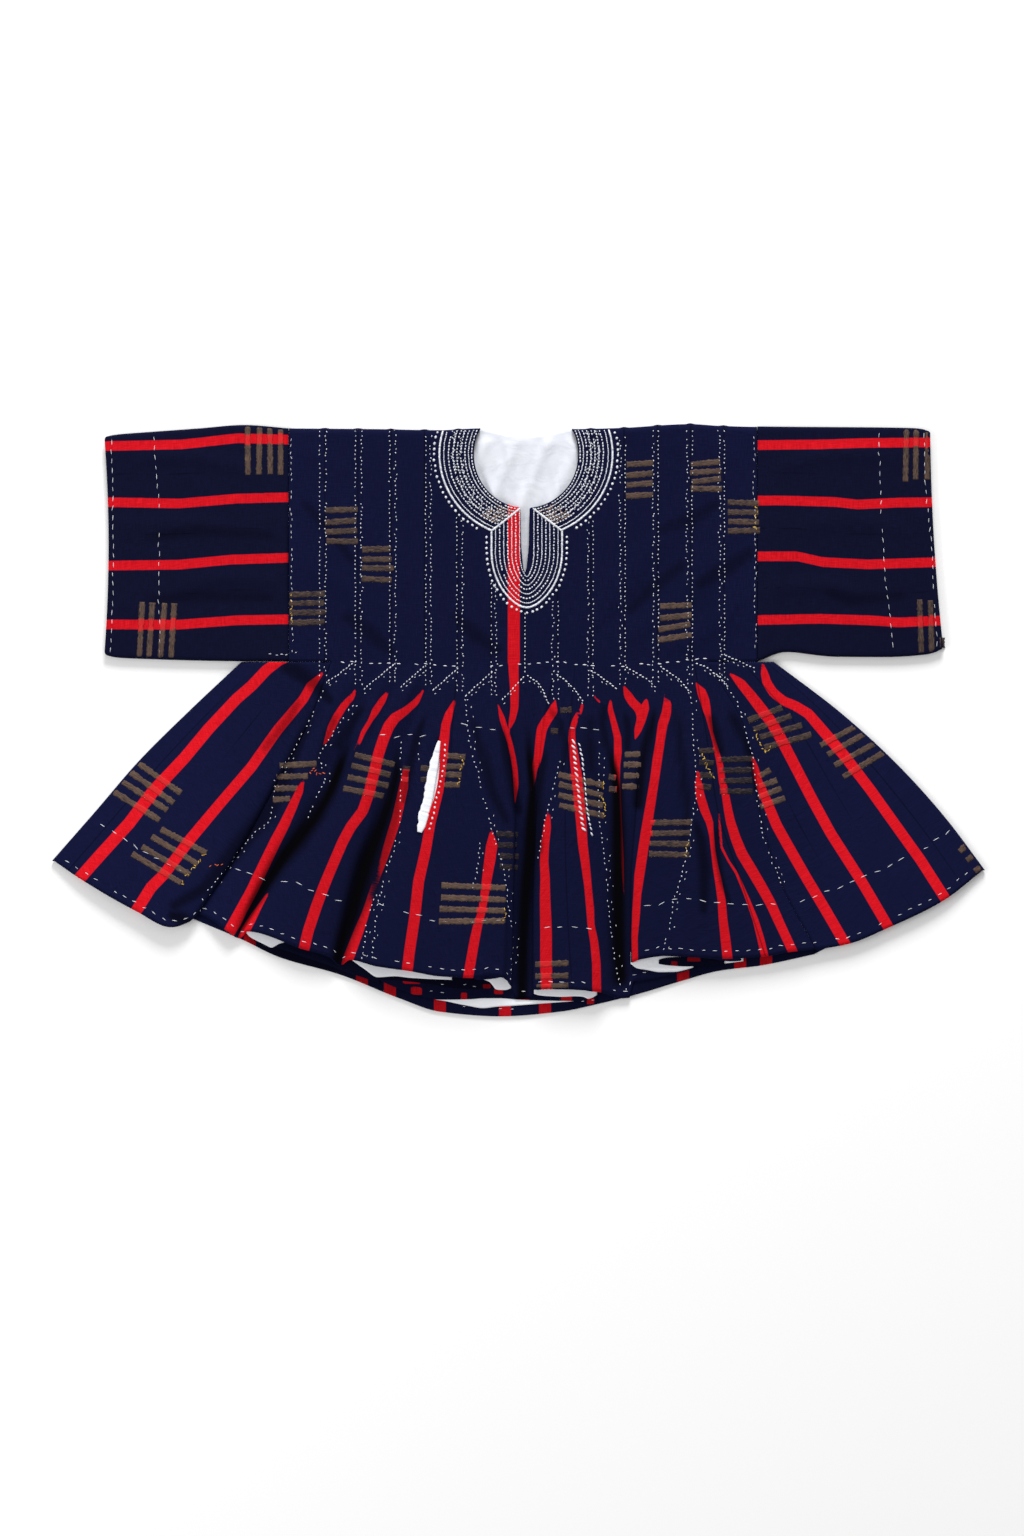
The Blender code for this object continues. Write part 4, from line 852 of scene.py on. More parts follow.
def skirt_sheet(down):
    """The middle of the cloth from back seam to back seam, a monotone cubic through the rails with
    columns about HEM_STEP apart at the hem, and the column of each rail."""
    names, lines = rail_lines(down)
    under_left = under_half(down, "left", lines)
    under_right = under_half(down, "right", lines)[:, ::-1]
    hem = lines[-1][:, (0, 2)]
    knots = run_along(hem)
    lapped = []
    for right, left, _, _ in LAPS:
        lapped += names[names.index(right + "_before"):names.index(left + "_after") + 1]
    places, at = [0.0], {names[0]: 0}
    for index in range(1, len(knots)):
        waist_x = lines[0, index - 1:index + 1, 0]
        fine = waist_x[0] < SLIT["x"] < waist_x[1]
        hem_steps = round((knots[index] - knots[index - 1]) / HEM_STEP)
        waist_steps = round((waist_x[1] - waist_x[0]) / (SLIT_STEP if fine else WAIST_STEP))
        inside_lap = names[index - 1] in lapped and names[index] in lapped
        count = max(2 if inside_lap else 1, hem_steps, waist_steps)
        places += list(np.linspace(knots[index - 1], knots[index], count + 1)[1:])
        at[names[index]] = len(places) - 1
    front = np.stack([monotone(knots, lines[..., axis], np.array(places)) for axis in range(3)],
                     axis=-1)
    at = {name: place + under_left.shape[1] for name, place in at.items()}
    return np.concatenate((under_left, front, under_right), axis=1), at


def creases(xy):
    """Height of the soft ridges at places on the cloth: a bell across each crease's line, faded at
    both ends, and a slow swell of three crossing waves below one millimetre."""
    height = np.zeros(xy.shape[:-1])
    for x0, y0, x1, y1, width, rise in CREASES:
        start, end = from_photo((x0, y0)), from_photo((x1, y1))
        length = np.linalg.norm(end - start)
        along = (end - start) / length
        offset = xy - start
        part = offset @ along / length
        bow = 0.08 * length * np.sin(math.pi * np.clip(part, 0.0, 1.0))
        across = offset @ np.array((-along[1], along[0])) - bow
        fade = smoothstep(-0.15, 0.3, part) * (1 - smoothstep(0.6, 1.15, part))
        height += rise * fade * np.exp(-(across / width) ** 2)
    x, y = xy[..., 0], xy[..., 1]
    swell = (np.sin(x / 31.0 + 1.3 * np.sin(y / 57.0)) + np.sin(y / 43.0 + x / 71.0)
             + np.sin((x + y) / 23.0))
    return height + SWELL_HEIGHT * swell


def nearest_on(line, xy):
    """For places in millimetres, how far each lies from a line of pixel places, and the value given
    with the line's points, read where the line is nearest, and the share of the line run there."""
    line = np.asarray(line, dtype=float)
    path, values = from_photo(line[:, :2]), line[:, 2]
    lengths = np.linalg.norm(np.diff(path, axis=0), axis=1)
    away = np.full(xy.shape[:-1], 1e6)
    value, share = np.zeros_like(away), np.zeros_like(away)
    run = 0.0
    for index, length in enumerate(lengths):
        along = (path[index + 1] - path[index]) / length
        part = np.clip((xy - path[index]) @ along, 0.0, length)
        distance = np.linalg.norm(xy - path[index] - part[..., None] * along, axis=-1)
        closer = distance < away
        away = np.where(closer, distance, away)
        here = values[index] + (values[index + 1] - values[index]) * part / length
        value = np.where(closer, here, value)
        share = np.where(closer, (run + part) / lengths.sum(), share)
        run += length
    return away, value * PIXEL, share


def valley_shade(xy, overall):
    """Share of the light that deep folds swallow: full on a valley's line, none beyond its width,
    and falling off at its upper end. The overall shade covers the rest."""
    shade = np.zeros(xy.shape[:-1])
    for strength, line in VALLEYS:
        away, half, share = nearest_on(line, xy)
        fall = 1 - smoothstep(0.25, 1.6, away / np.maximum(half, 0.5))
        shade = np.maximum(shade, strength * fall * smoothstep(-0.02, 0.16, share))
    return 1 - (1 - shade) * (1 - overall)


def middle_shade(x):
    """Painted shade: full over the middle, none on the wide gores, which lie in brighter light."""
    return MIDDLE_SHADE * (1 - smoothstep(*MIDDLE_SHADE_ENDS, np.abs(x)))


def gathers(place, down, mask):
    """Height of the small flutes that open below the tucks: a cosine with its crests under the
    lines of the tucks, which grows below the waist and dies out half way down."""
    wave = 0.5 + 0.5 * np.cos(2 * math.pi * place)
    grown = smoothstep(0.0, 0.1, down) * (1 - smoothstep(0.22, 0.5, down))
    return GATHER_HEIGHT * wave[None] * grown[:, None] * mask[None]


def rolled_bodice(x, radius, rows, middle, top):
    """The flat upper front and its quarter-round roll down at the shoulder, with its normals."""
    roll_y = top - CLOTH / 2 - radius
    share = np.linspace(0.0, 1.0, rows)
    flat = np.empty((rows, len(x), 3))
    flat[..., 0] = x
    flat[..., 1] = roll_y + (WAIST_Y - roll_y) * share[:, None]
    flat[..., 2] = middle
    flat_normal = np.zeros_like(flat)
    flat_normal[..., 2] = 1.0
    angle = np.linspace(0.0, math.pi / 2, ROLL_ROWS + 1)[:-1, None]
    roll = np.empty((ROLL_ROWS, len(x), 3))
    roll[..., 0] = x
    roll[..., 1] = roll_y + radius * np.cos(angle)
    roll[..., 2] = middle - radius + radius * np.sin(angle)
    roll_normal = np.zeros_like(roll)
    roll_normal[..., 1] = np.cos(angle)
    roll_normal[..., 2] = np.sin(angle)
    return np.concatenate((roll, flat)), np.concatenate((roll_normal, flat_normal))


def raise_hem(grid, down):
    """Lift the hem of a sheet to HEM_EDGE where it lies lower, the lift fading out upwards."""
    hem = grid[-1]
    lift = np.zeros(len(hem))
    for line in HEM_EDGE:
        edge = from_photo(line)
        there = (hem[:, 0] > edge[0, 0]) & (hem[:, 0] < edge[-1, 0])
        lift[there] = np.interp(hem[there, 0], edge[:, 0], edge[:, 1]) - hem[there, 1]
    grid[..., 1] += np.clip(lift, 0.0, HEM_LIFT_MOST) * smoothstep(0.8, 1.0, down)[:, None]


def run_length(grid, axis):
    """Length run along one way of a grid up to each point."""
    total = np.cumsum(np.linalg.norm(np.diff(grid, axis=axis), axis=-1), axis=axis)
    return np.pad(total, [(1, 0), (0, 0)] if axis == 0 else [(0, 0), (1, 0)])


def at_row(grid, place, column):
    """Points of a grid at places between its rows, one for each column."""
    low = np.clip(np.floor(place).astype(int), 0, len(grid) - 2)
    part = (place - low)[..., None]
    return grid[low, column] * (1 - part) + grid[low + 1, column] * part


def within(outline, points):
    """Which points lie inside an outline: those from which a ray crosses it an odd time."""
    x, y = points[..., 0], points[..., 1]
    inside = np.zeros(x.shape, dtype=bool)
    for (x0, y0), (x1, y1) in zip(outline, np.roll(outline, -1, axis=0)):
        if y0 == y1:
            continue
        crosses = ((y0 > y) != (y1 > y)) & (x < (x1 - x0) * (y - y0) / (y1 - y0) + x0)
        inside ^= crosses
    return inside


def open_hole(grid, kept, outline):
    """Take a hole out of a sheet: the cells whose middle lies inside the outline go, and each
    point on the new border moves onto the nearest place of the outline."""
    outline = np.array(outline)
    middle = (grid[:-1, :-1] + grid[1:, :-1] + grid[1:, 1:] + grid[:-1, 1:]) / 4
    gone = kept & within(outline, middle)
    kept &= ~gone
    touched, held = np.zeros(grid.shape[:2], dtype=bool), np.zeros(grid.shape[:2], dtype=bool)
    for rows in (slice(None, -1), slice(1, None)):
        for columns in (slice(None, -1), slice(1, None)):
            touched[rows, columns] |= gone
            held[rows, columns] |= kept
    border = touched & held
    ends = np.roll(outline, -1, axis=0)
    dense = np.concatenate([start + (end - start) * np.linspace(0, 1, 60)[:, None]
                            for start, end in zip(outline, ends)])
    places = grid[border][:, :2]
    nearest = np.argmin(((places[:, None] - dense[None]) ** 2).sum(axis=-1), axis=1)
    moved = grid[border]
    moved[:, :2] = dense[nearest]
    grid[border] = moved


def grid_mesh(name, grid, finish, kept=None, values=None, cloth_map=None, closed=False):
    """An object of a grid of points in millimetres, rows down and columns to the right, with its
    faces up. values are attributes of its points, cloth_map its places on the cloth in metres."""
    rows, columns = grid.shape[:2]
    number = np.arange(rows * columns).reshape(rows, columns)
    quads = np.stack((number[:-1, :-1], number[1:, :-1], number[1:, 1:], number[:-1, 1:]), axis=-1)
    quads = quads.reshape(-1, 4) if kept is None else quads[kept]
    used = np.unique(quads)
    lookup = np.zeros(rows * columns, dtype=int)
    lookup[used] = np.arange(len(used))
    mesh = bpy.data.meshes.new(name)
    mesh.from_pydata((grid.reshape(-1, 3)[used] * MM).tolist(), [], lookup[quads].tolist())
    mesh.update()
    for key, value in {"seam_distance": FAR, **(values or {})}.items():
        mesh.attributes.new(key, "FLOAT", "POINT").data.foreach_set(
            "value", np.broadcast_to(value, (rows, columns)).reshape(-1)[used].astype(np.float32))
    if cloth_map is not None:
        layer = mesh.uv_layers.new(name="cloth")
        flat = cloth_map.reshape(-1, 2)[quads.reshape(-1)]
        layer.data.foreach_set("uv", flat.reshape(-1).astype(np.float32))
    if closed:
        form = bmesh.new()
        form.from_mesh(mesh)
        bmesh.ops.remove_doubles(form, verts=form.verts, dist=1e-6)
        form.to_mesh(mesh)
        form.free()
    mesh.shade_smooth()
    return add_piece(name, mesh, finish)


def add_piece(name, mesh, finish):
    """An object at the origin that rides on the smock's one body."""
    mesh.materials.append(finish)
    piece = bpy.data.objects.new(name, mesh)
    bpy.context.scene.collection.objects.link(piece)
    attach(piece, "root")
    return piece


def lay_cloth(name, grid, cloth, cut, rests_on, replaced=None, kept=None, **mesh):
    """Lay a cloth: its mesh, its thickness with half to each side, and the solid that it replaces.
    The cut's width and length in millimetres (cut) and what it lies on (rests_on) are not used."""
    finish, slot, thickness = CLOTHS[cloth]
    piece = grid_mesh(name, grid, finish, kept=kept, **mesh)
    modifier = piece.modifiers.new("thickness", "SOLIDIFY")
    modifier.thickness = thickness * MM
    modifier.offset = 0.0
    if replaced:
        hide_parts(replaced)


def linear(code):
    """The linear colour of an sRGB hex value."""
    channels = np.array([int(code[i:i + 2], 16) for i in (1, 3, 5)]) / 255
    low = channels / 12.92
    high = ((channels + 0.055) / 1.055) ** 2.4
    return (*np.where(channels <= 0.04045, low, high).tolist(), 1.0)


def node(tree, kind, inputs=None, **settings):
    """Add a node: settings are its own properties, and inputs maps each socket to a value or to
    another node's output."""
    item = tree.nodes.new(kind)
    for key, value in settings.items():
        setattr(item, key, value)
    for key, value in (inputs or {}).items():
        if isinstance(value, bpy.types.NodeSocket):
            tree.links.new(value, item.inputs[key])
        else:
            item.inputs[key].default_value = value
    return item


def new_material(name):
    """An empty material, its tree and its surface shader."""
    material = bpy.data.materials.new(name)
    material.use_nodes = True
    tree = material.node_tree
    shader = tree.nodes["Principled BSDF"]
    return material, tree, shader


def blend_colours(tree, factor, one, two):
    """Colour one where the factor is 0 and two where it is 1."""
    return node(tree, "ShaderNodeMix", {0: factor, 6: one, 7: two}, data_type="RGBA").outputs[2]


def attribute(tree, name):
    """The value of a mesh attribute."""
    return node(tree, "ShaderNodeAttribute", attribute_name=name).outputs["Fac"]


def maths(tree, operation, *values):
    """One step of arithmetic on numbers or on other nodes' outputs."""
    return node(tree, "ShaderNodeMath", dict(enumerate(values)), operation=operation).outputs[0]


def noise(tree, place, scale, detail, **inputs):
    """Cloudy noise at places, which are scaled all ways by a number or each way by its own."""
    if isinstance(scale, tuple):
        place = node(tree, "ShaderNodeMapping", {"Vector": place, "Scale": scale}).outputs[0]
        scale = 1.0
    inputs = {"Vector": place, "Scale": scale, "Detail": detail, **inputs}
    return node(tree, "ShaderNodeTexNoise", inputs).outputs["Fac"]


def remap(tree, value, low, high, to_low=0.0, to_high=1.0):
    """A value carried over from one range to another, and held inside it."""
    inputs = {"Value": value, "From Min": low, "From Max": high, "To Min": to_low,
              "To Max": to_high}
    return node(tree, "ShaderNodeMapRange", inputs).outputs[0]


def finish_surface(tree, shader, colour, roughness, specular, height=None, strength=0, distance=0):
    """Give a surface its colour, its shine and, from a height, its fine relief."""
    tree.links.new(colour, shader.inputs["Base Color"])
    shader.inputs["Roughness"].default_value = roughness
    shader.inputs["Specular IOR Level"].default_value = specular
    if height is not None:
        inputs = {"Height": height, "Strength": strength, "Distance": distance}
        tree.links.new(node(tree, "ShaderNodeBump", inputs).outputs[0], shader.inputs["Normal"])


def strip_cloth(name, ground, weft_along):
    """Hand-woven cotton strips: matt, slubby yarn in a plain weave. The weave is drawn at 1.7 mm,
    twice the real yarn's pitch, so that it shows. Red warp stripes lie where stripe_edge is below
    zero, with an edge as uneven as the yarn. weft_along is the map's axis along the weft."""
    material, tree, shader = new_material(name)
    cloth = node(tree, "ShaderNodeUVMap", uv_map="cloth").outputs["UV"]
    yarn = {"Vector": cloth, "Scale": WAVE_PERIOD / WEAVE_PITCH, "Distortion": 0.6, "Detail": 1.0,
            "Detail Scale": 0.6}
    warp, weft = (node(tree, "ShaderNodeTexWave", yarn, bands_direction=axis).outputs["Fac"]
                  for axis in "XY")
    weave = maths(tree, "MULTIPLY", warp, weft)
    x, y = (60.0, 900.0) if weft_along == "X" else (900.0, 60.0)
    slub = noise(tree, cloth, (x, y, 1.0), 2.0, Roughness=0.6)
    streak = noise(tree, cloth, (y, x, 1.0), 2.0)
    patch = noise(tree, cloth, 9.0, 3.0)
    tone = remap(tree, maths(tree, "MULTIPLY", slub, streak), 0.12, 0.42)
    navy = blend_colours(tree, tone, linear(ground[0]), linear(ground[1]))
    navy = blend_colours(tree, patch, navy, linear(ground[2]))
    red = blend_colours(tree, tone, linear("#BF0C19"), linear("#EB1E2A"))
    ragged = maths(tree, "MULTIPLY_ADD", slub, 1.4, -0.7)
    edge = maths(tree, "ADD", attribute(tree, "stripe_edge"), ragged)
    colour = blend_colours(tree, remap(tree, edge, -0.35, 0.35, 1.0, 0.0), navy, red)
    seam = remap(tree, attribute(tree, "seam_distance"), 0.3, 1.5, 0.55, 0.0)
    colour = blend_colours(tree, seam, colour, linear("#04050C"))
    # Painted shade: in folds, under the front hem, over the skirt's middle and on the sleeves
    colour = blend_colours(tree, attribute(tree, "fold_shade"), colour, linear("#030205"))
    height = maths(tree, "ADD", weave, slub)
    finish_surface(tree, shader, colour, 0.88, 0.03, height, 0.22, 0.0006)
    return material


def bleached_cotton():
    """Plain bleached cotton lining: thin, soft, slightly cool, with small crumples."""
    material, tree, shader = new_material("bleached_cotton_lining")
    place = node(tree, "ShaderNodeTexCoord").outputs["Object"]
    crumple = noise(tree, place, 26.0, 3.0, Distortion=0.8)
    fine = noise(tree, place, 700.0, 1.0)
    colour = blend_colours(tree, crumple, linear("#E6E9F1"), linear("#F7F8FB"))
    # Painted shade: greyer in the neck and where the lining lies under the front hem
    colour = blend_colours(tree, attribute(tree, "fold_shade"), colour, linear("#8D93A6"))
    height = maths(tree, "MULTIPLY_ADD", crumple, 9.0, fine)
    finish_surface(tree, shader, colour, 0.85, 0.3, height, 0.35, 0.0008)
    return material


def thread(name, dark, light):
    """Soft cotton thread, matt, its tone uneven from stitch to stitch."""
    material, tree, shader = new_material(name)
    place = node(tree, "ShaderNodeTexCoord").outputs["Object"]
    tone = remap(tree, noise(tree, place, 260.0, 2.0), 0.35, 0.6)
    colour = blend_colours(tree, tone, linear(dark), linear(light))
    finish_surface(tree, shader, colour, 0.8, 0.3)
    return material


def bronze_weft():
    """Gold-brown weft yarn, a little shiny, in streaks along the bar, darker where it has worn off.
    Over a red stripe the warp covers it and the bar is nearly as red."""
    material, tree, shader = new_material("bronze_weft_yarn")
    along_and_across = {"X": attribute(tree, "along"), "Y": attribute(tree, "across")}
    place = node(tree, "ShaderNodeCombineXYZ", along_and_across).outputs[0]
    streak = noise(tree, place, (0.12, 1.6, 1.0), 3.0, Roughness=0.7)
    patch = noise(tree, place, (0.05, 0.08, 1.0), 1.0)
    thin = maths(tree, "MULTIPLY_ADD", patch, 0.45, attribute(tree, "wear"))
    tone = remap(tree, maths(tree, "MULTIPLY_ADD", thin, -0.3, streak), 0.24, 0.6)
    gold = blend_colours(tree, tone, linear("#12101C"), linear("#725B4B"))
    red = blend_colours(tree, tone, linear("#B0121C"), linear("#E22A2A"))
    colour = blend_colours(tree, attribute(tree, "over_red"), gold, red)
    finish_surface(tree, shader, colour, 0.7, 0.15, streak, 0.4, 0.0005)
    return material


NAVY_CLOTH = strip_cloth("hand_woven_strip_cotton", ("#0C0E28", "#181B42", "#101433"), "X")
SLEEVE_CLOTH = strip_cloth("hand_woven_sleeve_cotton", ("#0B0D22", "#151837", "#0F112B"), "Y")
LINING_COTTON = bleached_cotton()
WHITE_THREAD = thread("white_embroidery_cotton", "#C4C8D4", "#F1F3F8")
YELLOW_THREAD = thread("yellow_sewing_cotton", "#B98A26", "#E8C552")
ORANGE_THREAD = thread("orange_red_sewing_cotton", "#A8401E", "#E06A3C")
TAN_THREAD = thread("tan_embroidery_cotton", "#6E5A50", "#B99B86")
BAR_YARN = bronze_weft()

# Each cloth's finish, its slot in the record and its thickness as shown
CLOTHS = {
    "strips": (NAVY_CLOTH, "navy_strip_cloth", CLOTH_SHOWN),
    "sleeve": (SLEEVE_CLOTH, "navy_sleeve_cloth", CLOTH_SHOWN),
    "lining": (LINING_COTTON, "white_lining_cotton", LINING_SHOWN),
    "facing": (NAVY_CLOTH, "navy_strip_cloth", FACING_SHOWN),
    "inner_hem": (NAVY_CLOTH, "navy_strip_cloth", LINING_SHOWN),
}


def stripe_distance(grid, normal):
    """How far each point of the skirt lies outside the nearest red stripe, below zero inside: the
    distance from the stripe's line less half its width there. The underside has none."""
    nearest = np.full(grid.shape[:2], FAR)
    for line in SKIRT_STRIPES:
        away, half, _ = nearest_on(line, grid[..., :2])
        nearest = np.minimum(nearest, away - half)
    return np.where(normal[..., 2] > -0.3, nearest, FAR)


def plain_seams(at, arc):
    """Distance across to the nearest plain seam between two strips, midway between two rails."""
    nearest = np.full(arc.shape, FAR)
    for one, two in PLAIN_SEAMS:
        middle = (arc[:, at[one]] + arc[:, at[two]]) / 2
        nearest = np.minimum(nearest, np.abs(arc - middle[:, None]))
    return nearest


def tuck_seams(x):
    """Distance across to the nearest line of the tucks."""
    place = (x - PLEAT_FIRST_X) / PLEAT_PITCH
    return np.abs(place - np.clip(np.round(place), 0, PLEAT_COUNT - 1)) * PLEAT_PITCH


def sleeve_distances(grid, side):
    """Distance across a sleeve to the nearest stripe's edge, and to the nearest seam between two
    strips, midway between the lines of two stripes."""
    paths = [from_photo(line) for line in SLEEVE_STRIPES[side]]
    lines = np.array([np.interp(grid[..., 0], path[:, 0], path[:, 1]) for path in paths])
    stripe = np.abs(grid[..., 1] - lines).min(axis=0) - SLEEVE_STRIPE_HALF
    seam = np.abs(grid[..., 1] - (lines[:-1] + lines[1:]) / 2).min(axis=0)
    return stripe, seam


def build_body():
    """The front, the gores, the linings and the pocket bag, all offset from one sheet. Returns the
    top sheets with their stripes, and the skirt's sheet with its rails and its depth."""
    down = np.linspace(0.0, 1.0, SKIRT_ROWS)
    belt, at = skirt_sheet(down)
    normal = grid_normals(belt)
    first, last = at["seam_left"], at["seam_right"]
    normal[0, at["edge_left"] + 1:at["edge_right"]] = (0.0, 0.0, 1.0)
    normal[:, :UNDER_COLUMNS] = (0.0, 0.0, -1.0)
    normal[:, -UNDER_COLUMNS:] = (0.0, 0.0, -1.0)
    arc = run_length(belt, 1)
    edge = stripe_distance(belt, normal)
    centre = arc[:, at["stripe_centre"]][:, None]
    depth = run_length(belt, 0)
    cloth_map = np.stack((arc - centre, -depth), axis=-1) * MM
    swell = creases(belt[..., :2]) * smoothstep(0.6, 0.95, normal[..., 2])
    swell *= smoothstep(0.0, 0.08, down)[:, None]
    place = (belt[0, :, 0] - PLEAT_FIRST_X) / PLEAT_PITCH
    mask = np.ones(belt.shape[1])
    mask[:first + 1] = 0.0
    mask[last:] = 0.0
    for right, left in (("fold_d", "tuck_e"), ("fold_e", "seam_e"), ("valley_eg", "fold_g")):
        mask[at[right] - 6:at[left] + 7] = 0.0
    swell = swell * 0.8 + gathers(place, down, mask)
    soft = belt + normal * swell[..., None]
    raise_hem(soft, down)
    # Painted shade in the deep folds and over the middle of the skirt
    shade = valley_shade(soft[..., :2], middle_shade(soft[..., 0]))
    seams = plain_seams(at, arc)
    marks = {"stripe_edge": edge, "fold_shade": shade, "seam_distance": seams}

    gores = []
    for side, columns, shift in (("left", slice(0, first + 1), -SEAM / 2),
                                 ("right", slice(last, None), SEAM / 2)):
        gore = soft[:, columns].copy()
        gore[:, (0, -1), 0] += shift
        gore[0, :, 1] -= SEAM
        lay_cloth(side + "_side_gore", gore, "strips",
                  (np.ptp(arc[-1, columns]), depth[-1, columns].max()), ["floor"],
                  replaced="side_gore_" + side, cloth_map=cloth_map[:, columns],
                  values={key: value[:, columns] for key, value in marks.items()})
        gores.append((gore, None, edge[:, columns]))

    skirt = soft[:, first:last + 1].copy()
    skirt[:, 0, 0] += SEAM / 2
    skirt[:, -1, 0] -= SEAM / 2
    left_x = np.arange(ARMHOLE_LEFT_X + SEAM / 2, skirt[0, 0, 0] - 2.0, WAIST_STEP)
    right_x = np.arange(ARMHOLE_RIGHT_X - SEAM / 2, skirt[0, -1, 0] + 2.0, -WAIST_STEP)[::-1]
    all_x = np.concatenate((left_x, skirt[0, :, 0], right_x))
    top = monotone(np.array(SHOULDER["x"]), np.array(SHOULDER["y"]), all_x)
    upper, upper_normal = rolled_bodice(all_x, BODY_Z - CLOTH - GAP, BODICE_ROWS, BODY_Z, top)
    span = slice(len(left_x), len(left_x) + skirt.shape[1])
    lower = np.zeros((SKIRT_ROWS - 1, len(all_x), 3))
    lower_normal = np.zeros_like(lower)
    lower[:, span] = skirt[1:]
    lower_normal[:, span] = normal[1:, first:last + 1]
    share = np.linspace(0.0, 1.0, len(upper))[:, None]
    rise = creases(upper[..., :2]) * smoothstep(0.0, 0.08, share)
    rise = rise * (1 - smoothstep(0.93, 1.0, share))
    upper = upper + upper_normal * rise[..., None]
    sheet = np.concatenate((upper, lower))
    out = np.concatenate((upper_normal, lower_normal))
    fade = np.concatenate((np.ones(len(upper)), 1.0 - smoothstep(0.0, 0.16, down[1:])))
    sheet += out * (pleat_ridge(all_x)[None] * fade[:, None])[..., None]
    kept = np.ones((len(sheet) - 1, len(all_x) - 1), dtype=bool)
    kept[len(upper) - 1:, :span.start] = False
    kept[len(upper) - 1:, span.stop - 1:] = False
    bodice_edge = np.abs(upper[..., 0] - BODICE_STRIPE["x"]) - STRIPE_HALF
    bodice_edge = np.where(upper[..., 1] < BODICE_STRIPE["from_y"], bodice_edge, FAR)
    stripe = np.full(sheet.shape[:2], FAR)
    stripe[:len(upper)] = bodice_edge
    stripe[len(upper):, span] = edge[1:, first:last + 1]
    front_map = np.zeros(sheet.shape[:2] + (2,))
    front_map[:len(upper)] = upper[..., :2] * MM
    front_map[len(upper):, span] = cloth_map[1:, first:last + 1]
    front_map[len(upper):, span, 1] += WAIST_Y * MM
    open_hole(sheet, kept, neck_outline())
    open_hole(sheet, kept, pocket_outline())
    seam_line = np.full(sheet.shape[:2], FAR)
    seam_line[:len(upper)] = tuck_seams(upper[..., 0])
    seam_line[len(upper):, span] = seams[1:, first:last + 1]
    shade = valley_shade(sheet[..., :2], middle_shade(sheet[..., 0]))
    hem_width = arc[-1, last] - arc[-1, first]
    length = sheet[0, :, 1].max() + depth[-1, first:last].max() - WAIST_Y
    lay_cloth("front_of_strips", sheet, "strips", (hem_width, length), ["floor"],
              replaced="front_panel", kept=kept, cloth_map=front_map,
              values={"stripe_edge": stripe, "seam_distance": seam_line, "fold_shade": shade})

    inner = -normal
    rows, columns = slice(int(SKIRT_ROWS * LINING_FROM), None), slice(first + 2, last - 1)
    row_depth = np.maximum(depth[-1] - depth[-2], 0.1)
    place = np.minimum(np.arange(SKIRT_ROWS)[:, None], SKIRT_ROWS - 1 - HEM_LINING_RISE / row_depth)
    lined = at_row(soft, place, np.arange(belt.shape[1]))
    lining = lined[rows, columns] + inner[rows, columns] * LINING_DEPTH
    lay_cloth("front_lining_band", lining, "lining", (hem_width, np.ptp(depth[rows, columns])),
              ["floor"], replaced="front_lining")

    facing = hem_allowance(soft[:, columns], inner[:, columns], row_depth[columns])
    turned = np.linspace(0, HEM_TURN, len(facing))[:, None]
    facing_map = np.stack(np.broadcast_arrays((arc - centre)[-1, columns], turned), axis=-1) * MM
    lay_cloth("front_hem_turning", facing, "facing", (np.ptp(arc[-1, columns]), HEM_TURN_CUT),
              ["floor"], cloth_map=facing_map, values={"stripe_edge": edge[-1, columns]})

    rows = slice(*(int(SKIRT_ROWS * share) for share in POCKET_BAG_ROWS))
    columns = slice(at["stripe_c"] + 1, at["crest_d"])
    bag = belt[rows, columns] + inner[rows, columns] * POCKET_DEPTH
    lay_cloth("left_pocket_bag", bag, "lining",
              (np.ptp(arc[rows, columns][-1]), np.ptp(depth[rows, columns])), ["floor"],
              replaced="pocket_left")
    return ((sheet, kept, stripe), *gores), (soft, at, depth)


def hem_allowance(grid, inner, row_depth):
    """The hem turned in: a small half circle round the hem's edge, then up along the inside at
    TURN_DEPTH from the cloth's middle for HEM_TURN. row_depth is the last row's depth."""
    way = grid[-1] - grid[-2]
    way /= np.linalg.norm(way, axis=-1, keepdims=True)
    radius = TURN_DEPTH / 2
    rows = [grid[-1] + inner[-1] * radius * (1 - math.cos(angle))
            + way * radius * (math.sin(angle) - 1.0) for angle in np.linspace(0.25, math.pi, 6)]
    column = np.arange(grid.shape[1])
    for rise in np.linspace(2.0, HEM_TURN, 6):
        place = (len(grid) - 1) - rise * (1.0 / row_depth)
        low = np.clip(np.floor(place).astype(int), 0, len(grid) - 2)
        rows.append(at_row(grid, place, column) + inner[low, column] * TURN_DEPTH)
    return np.array(rows)[::-1]


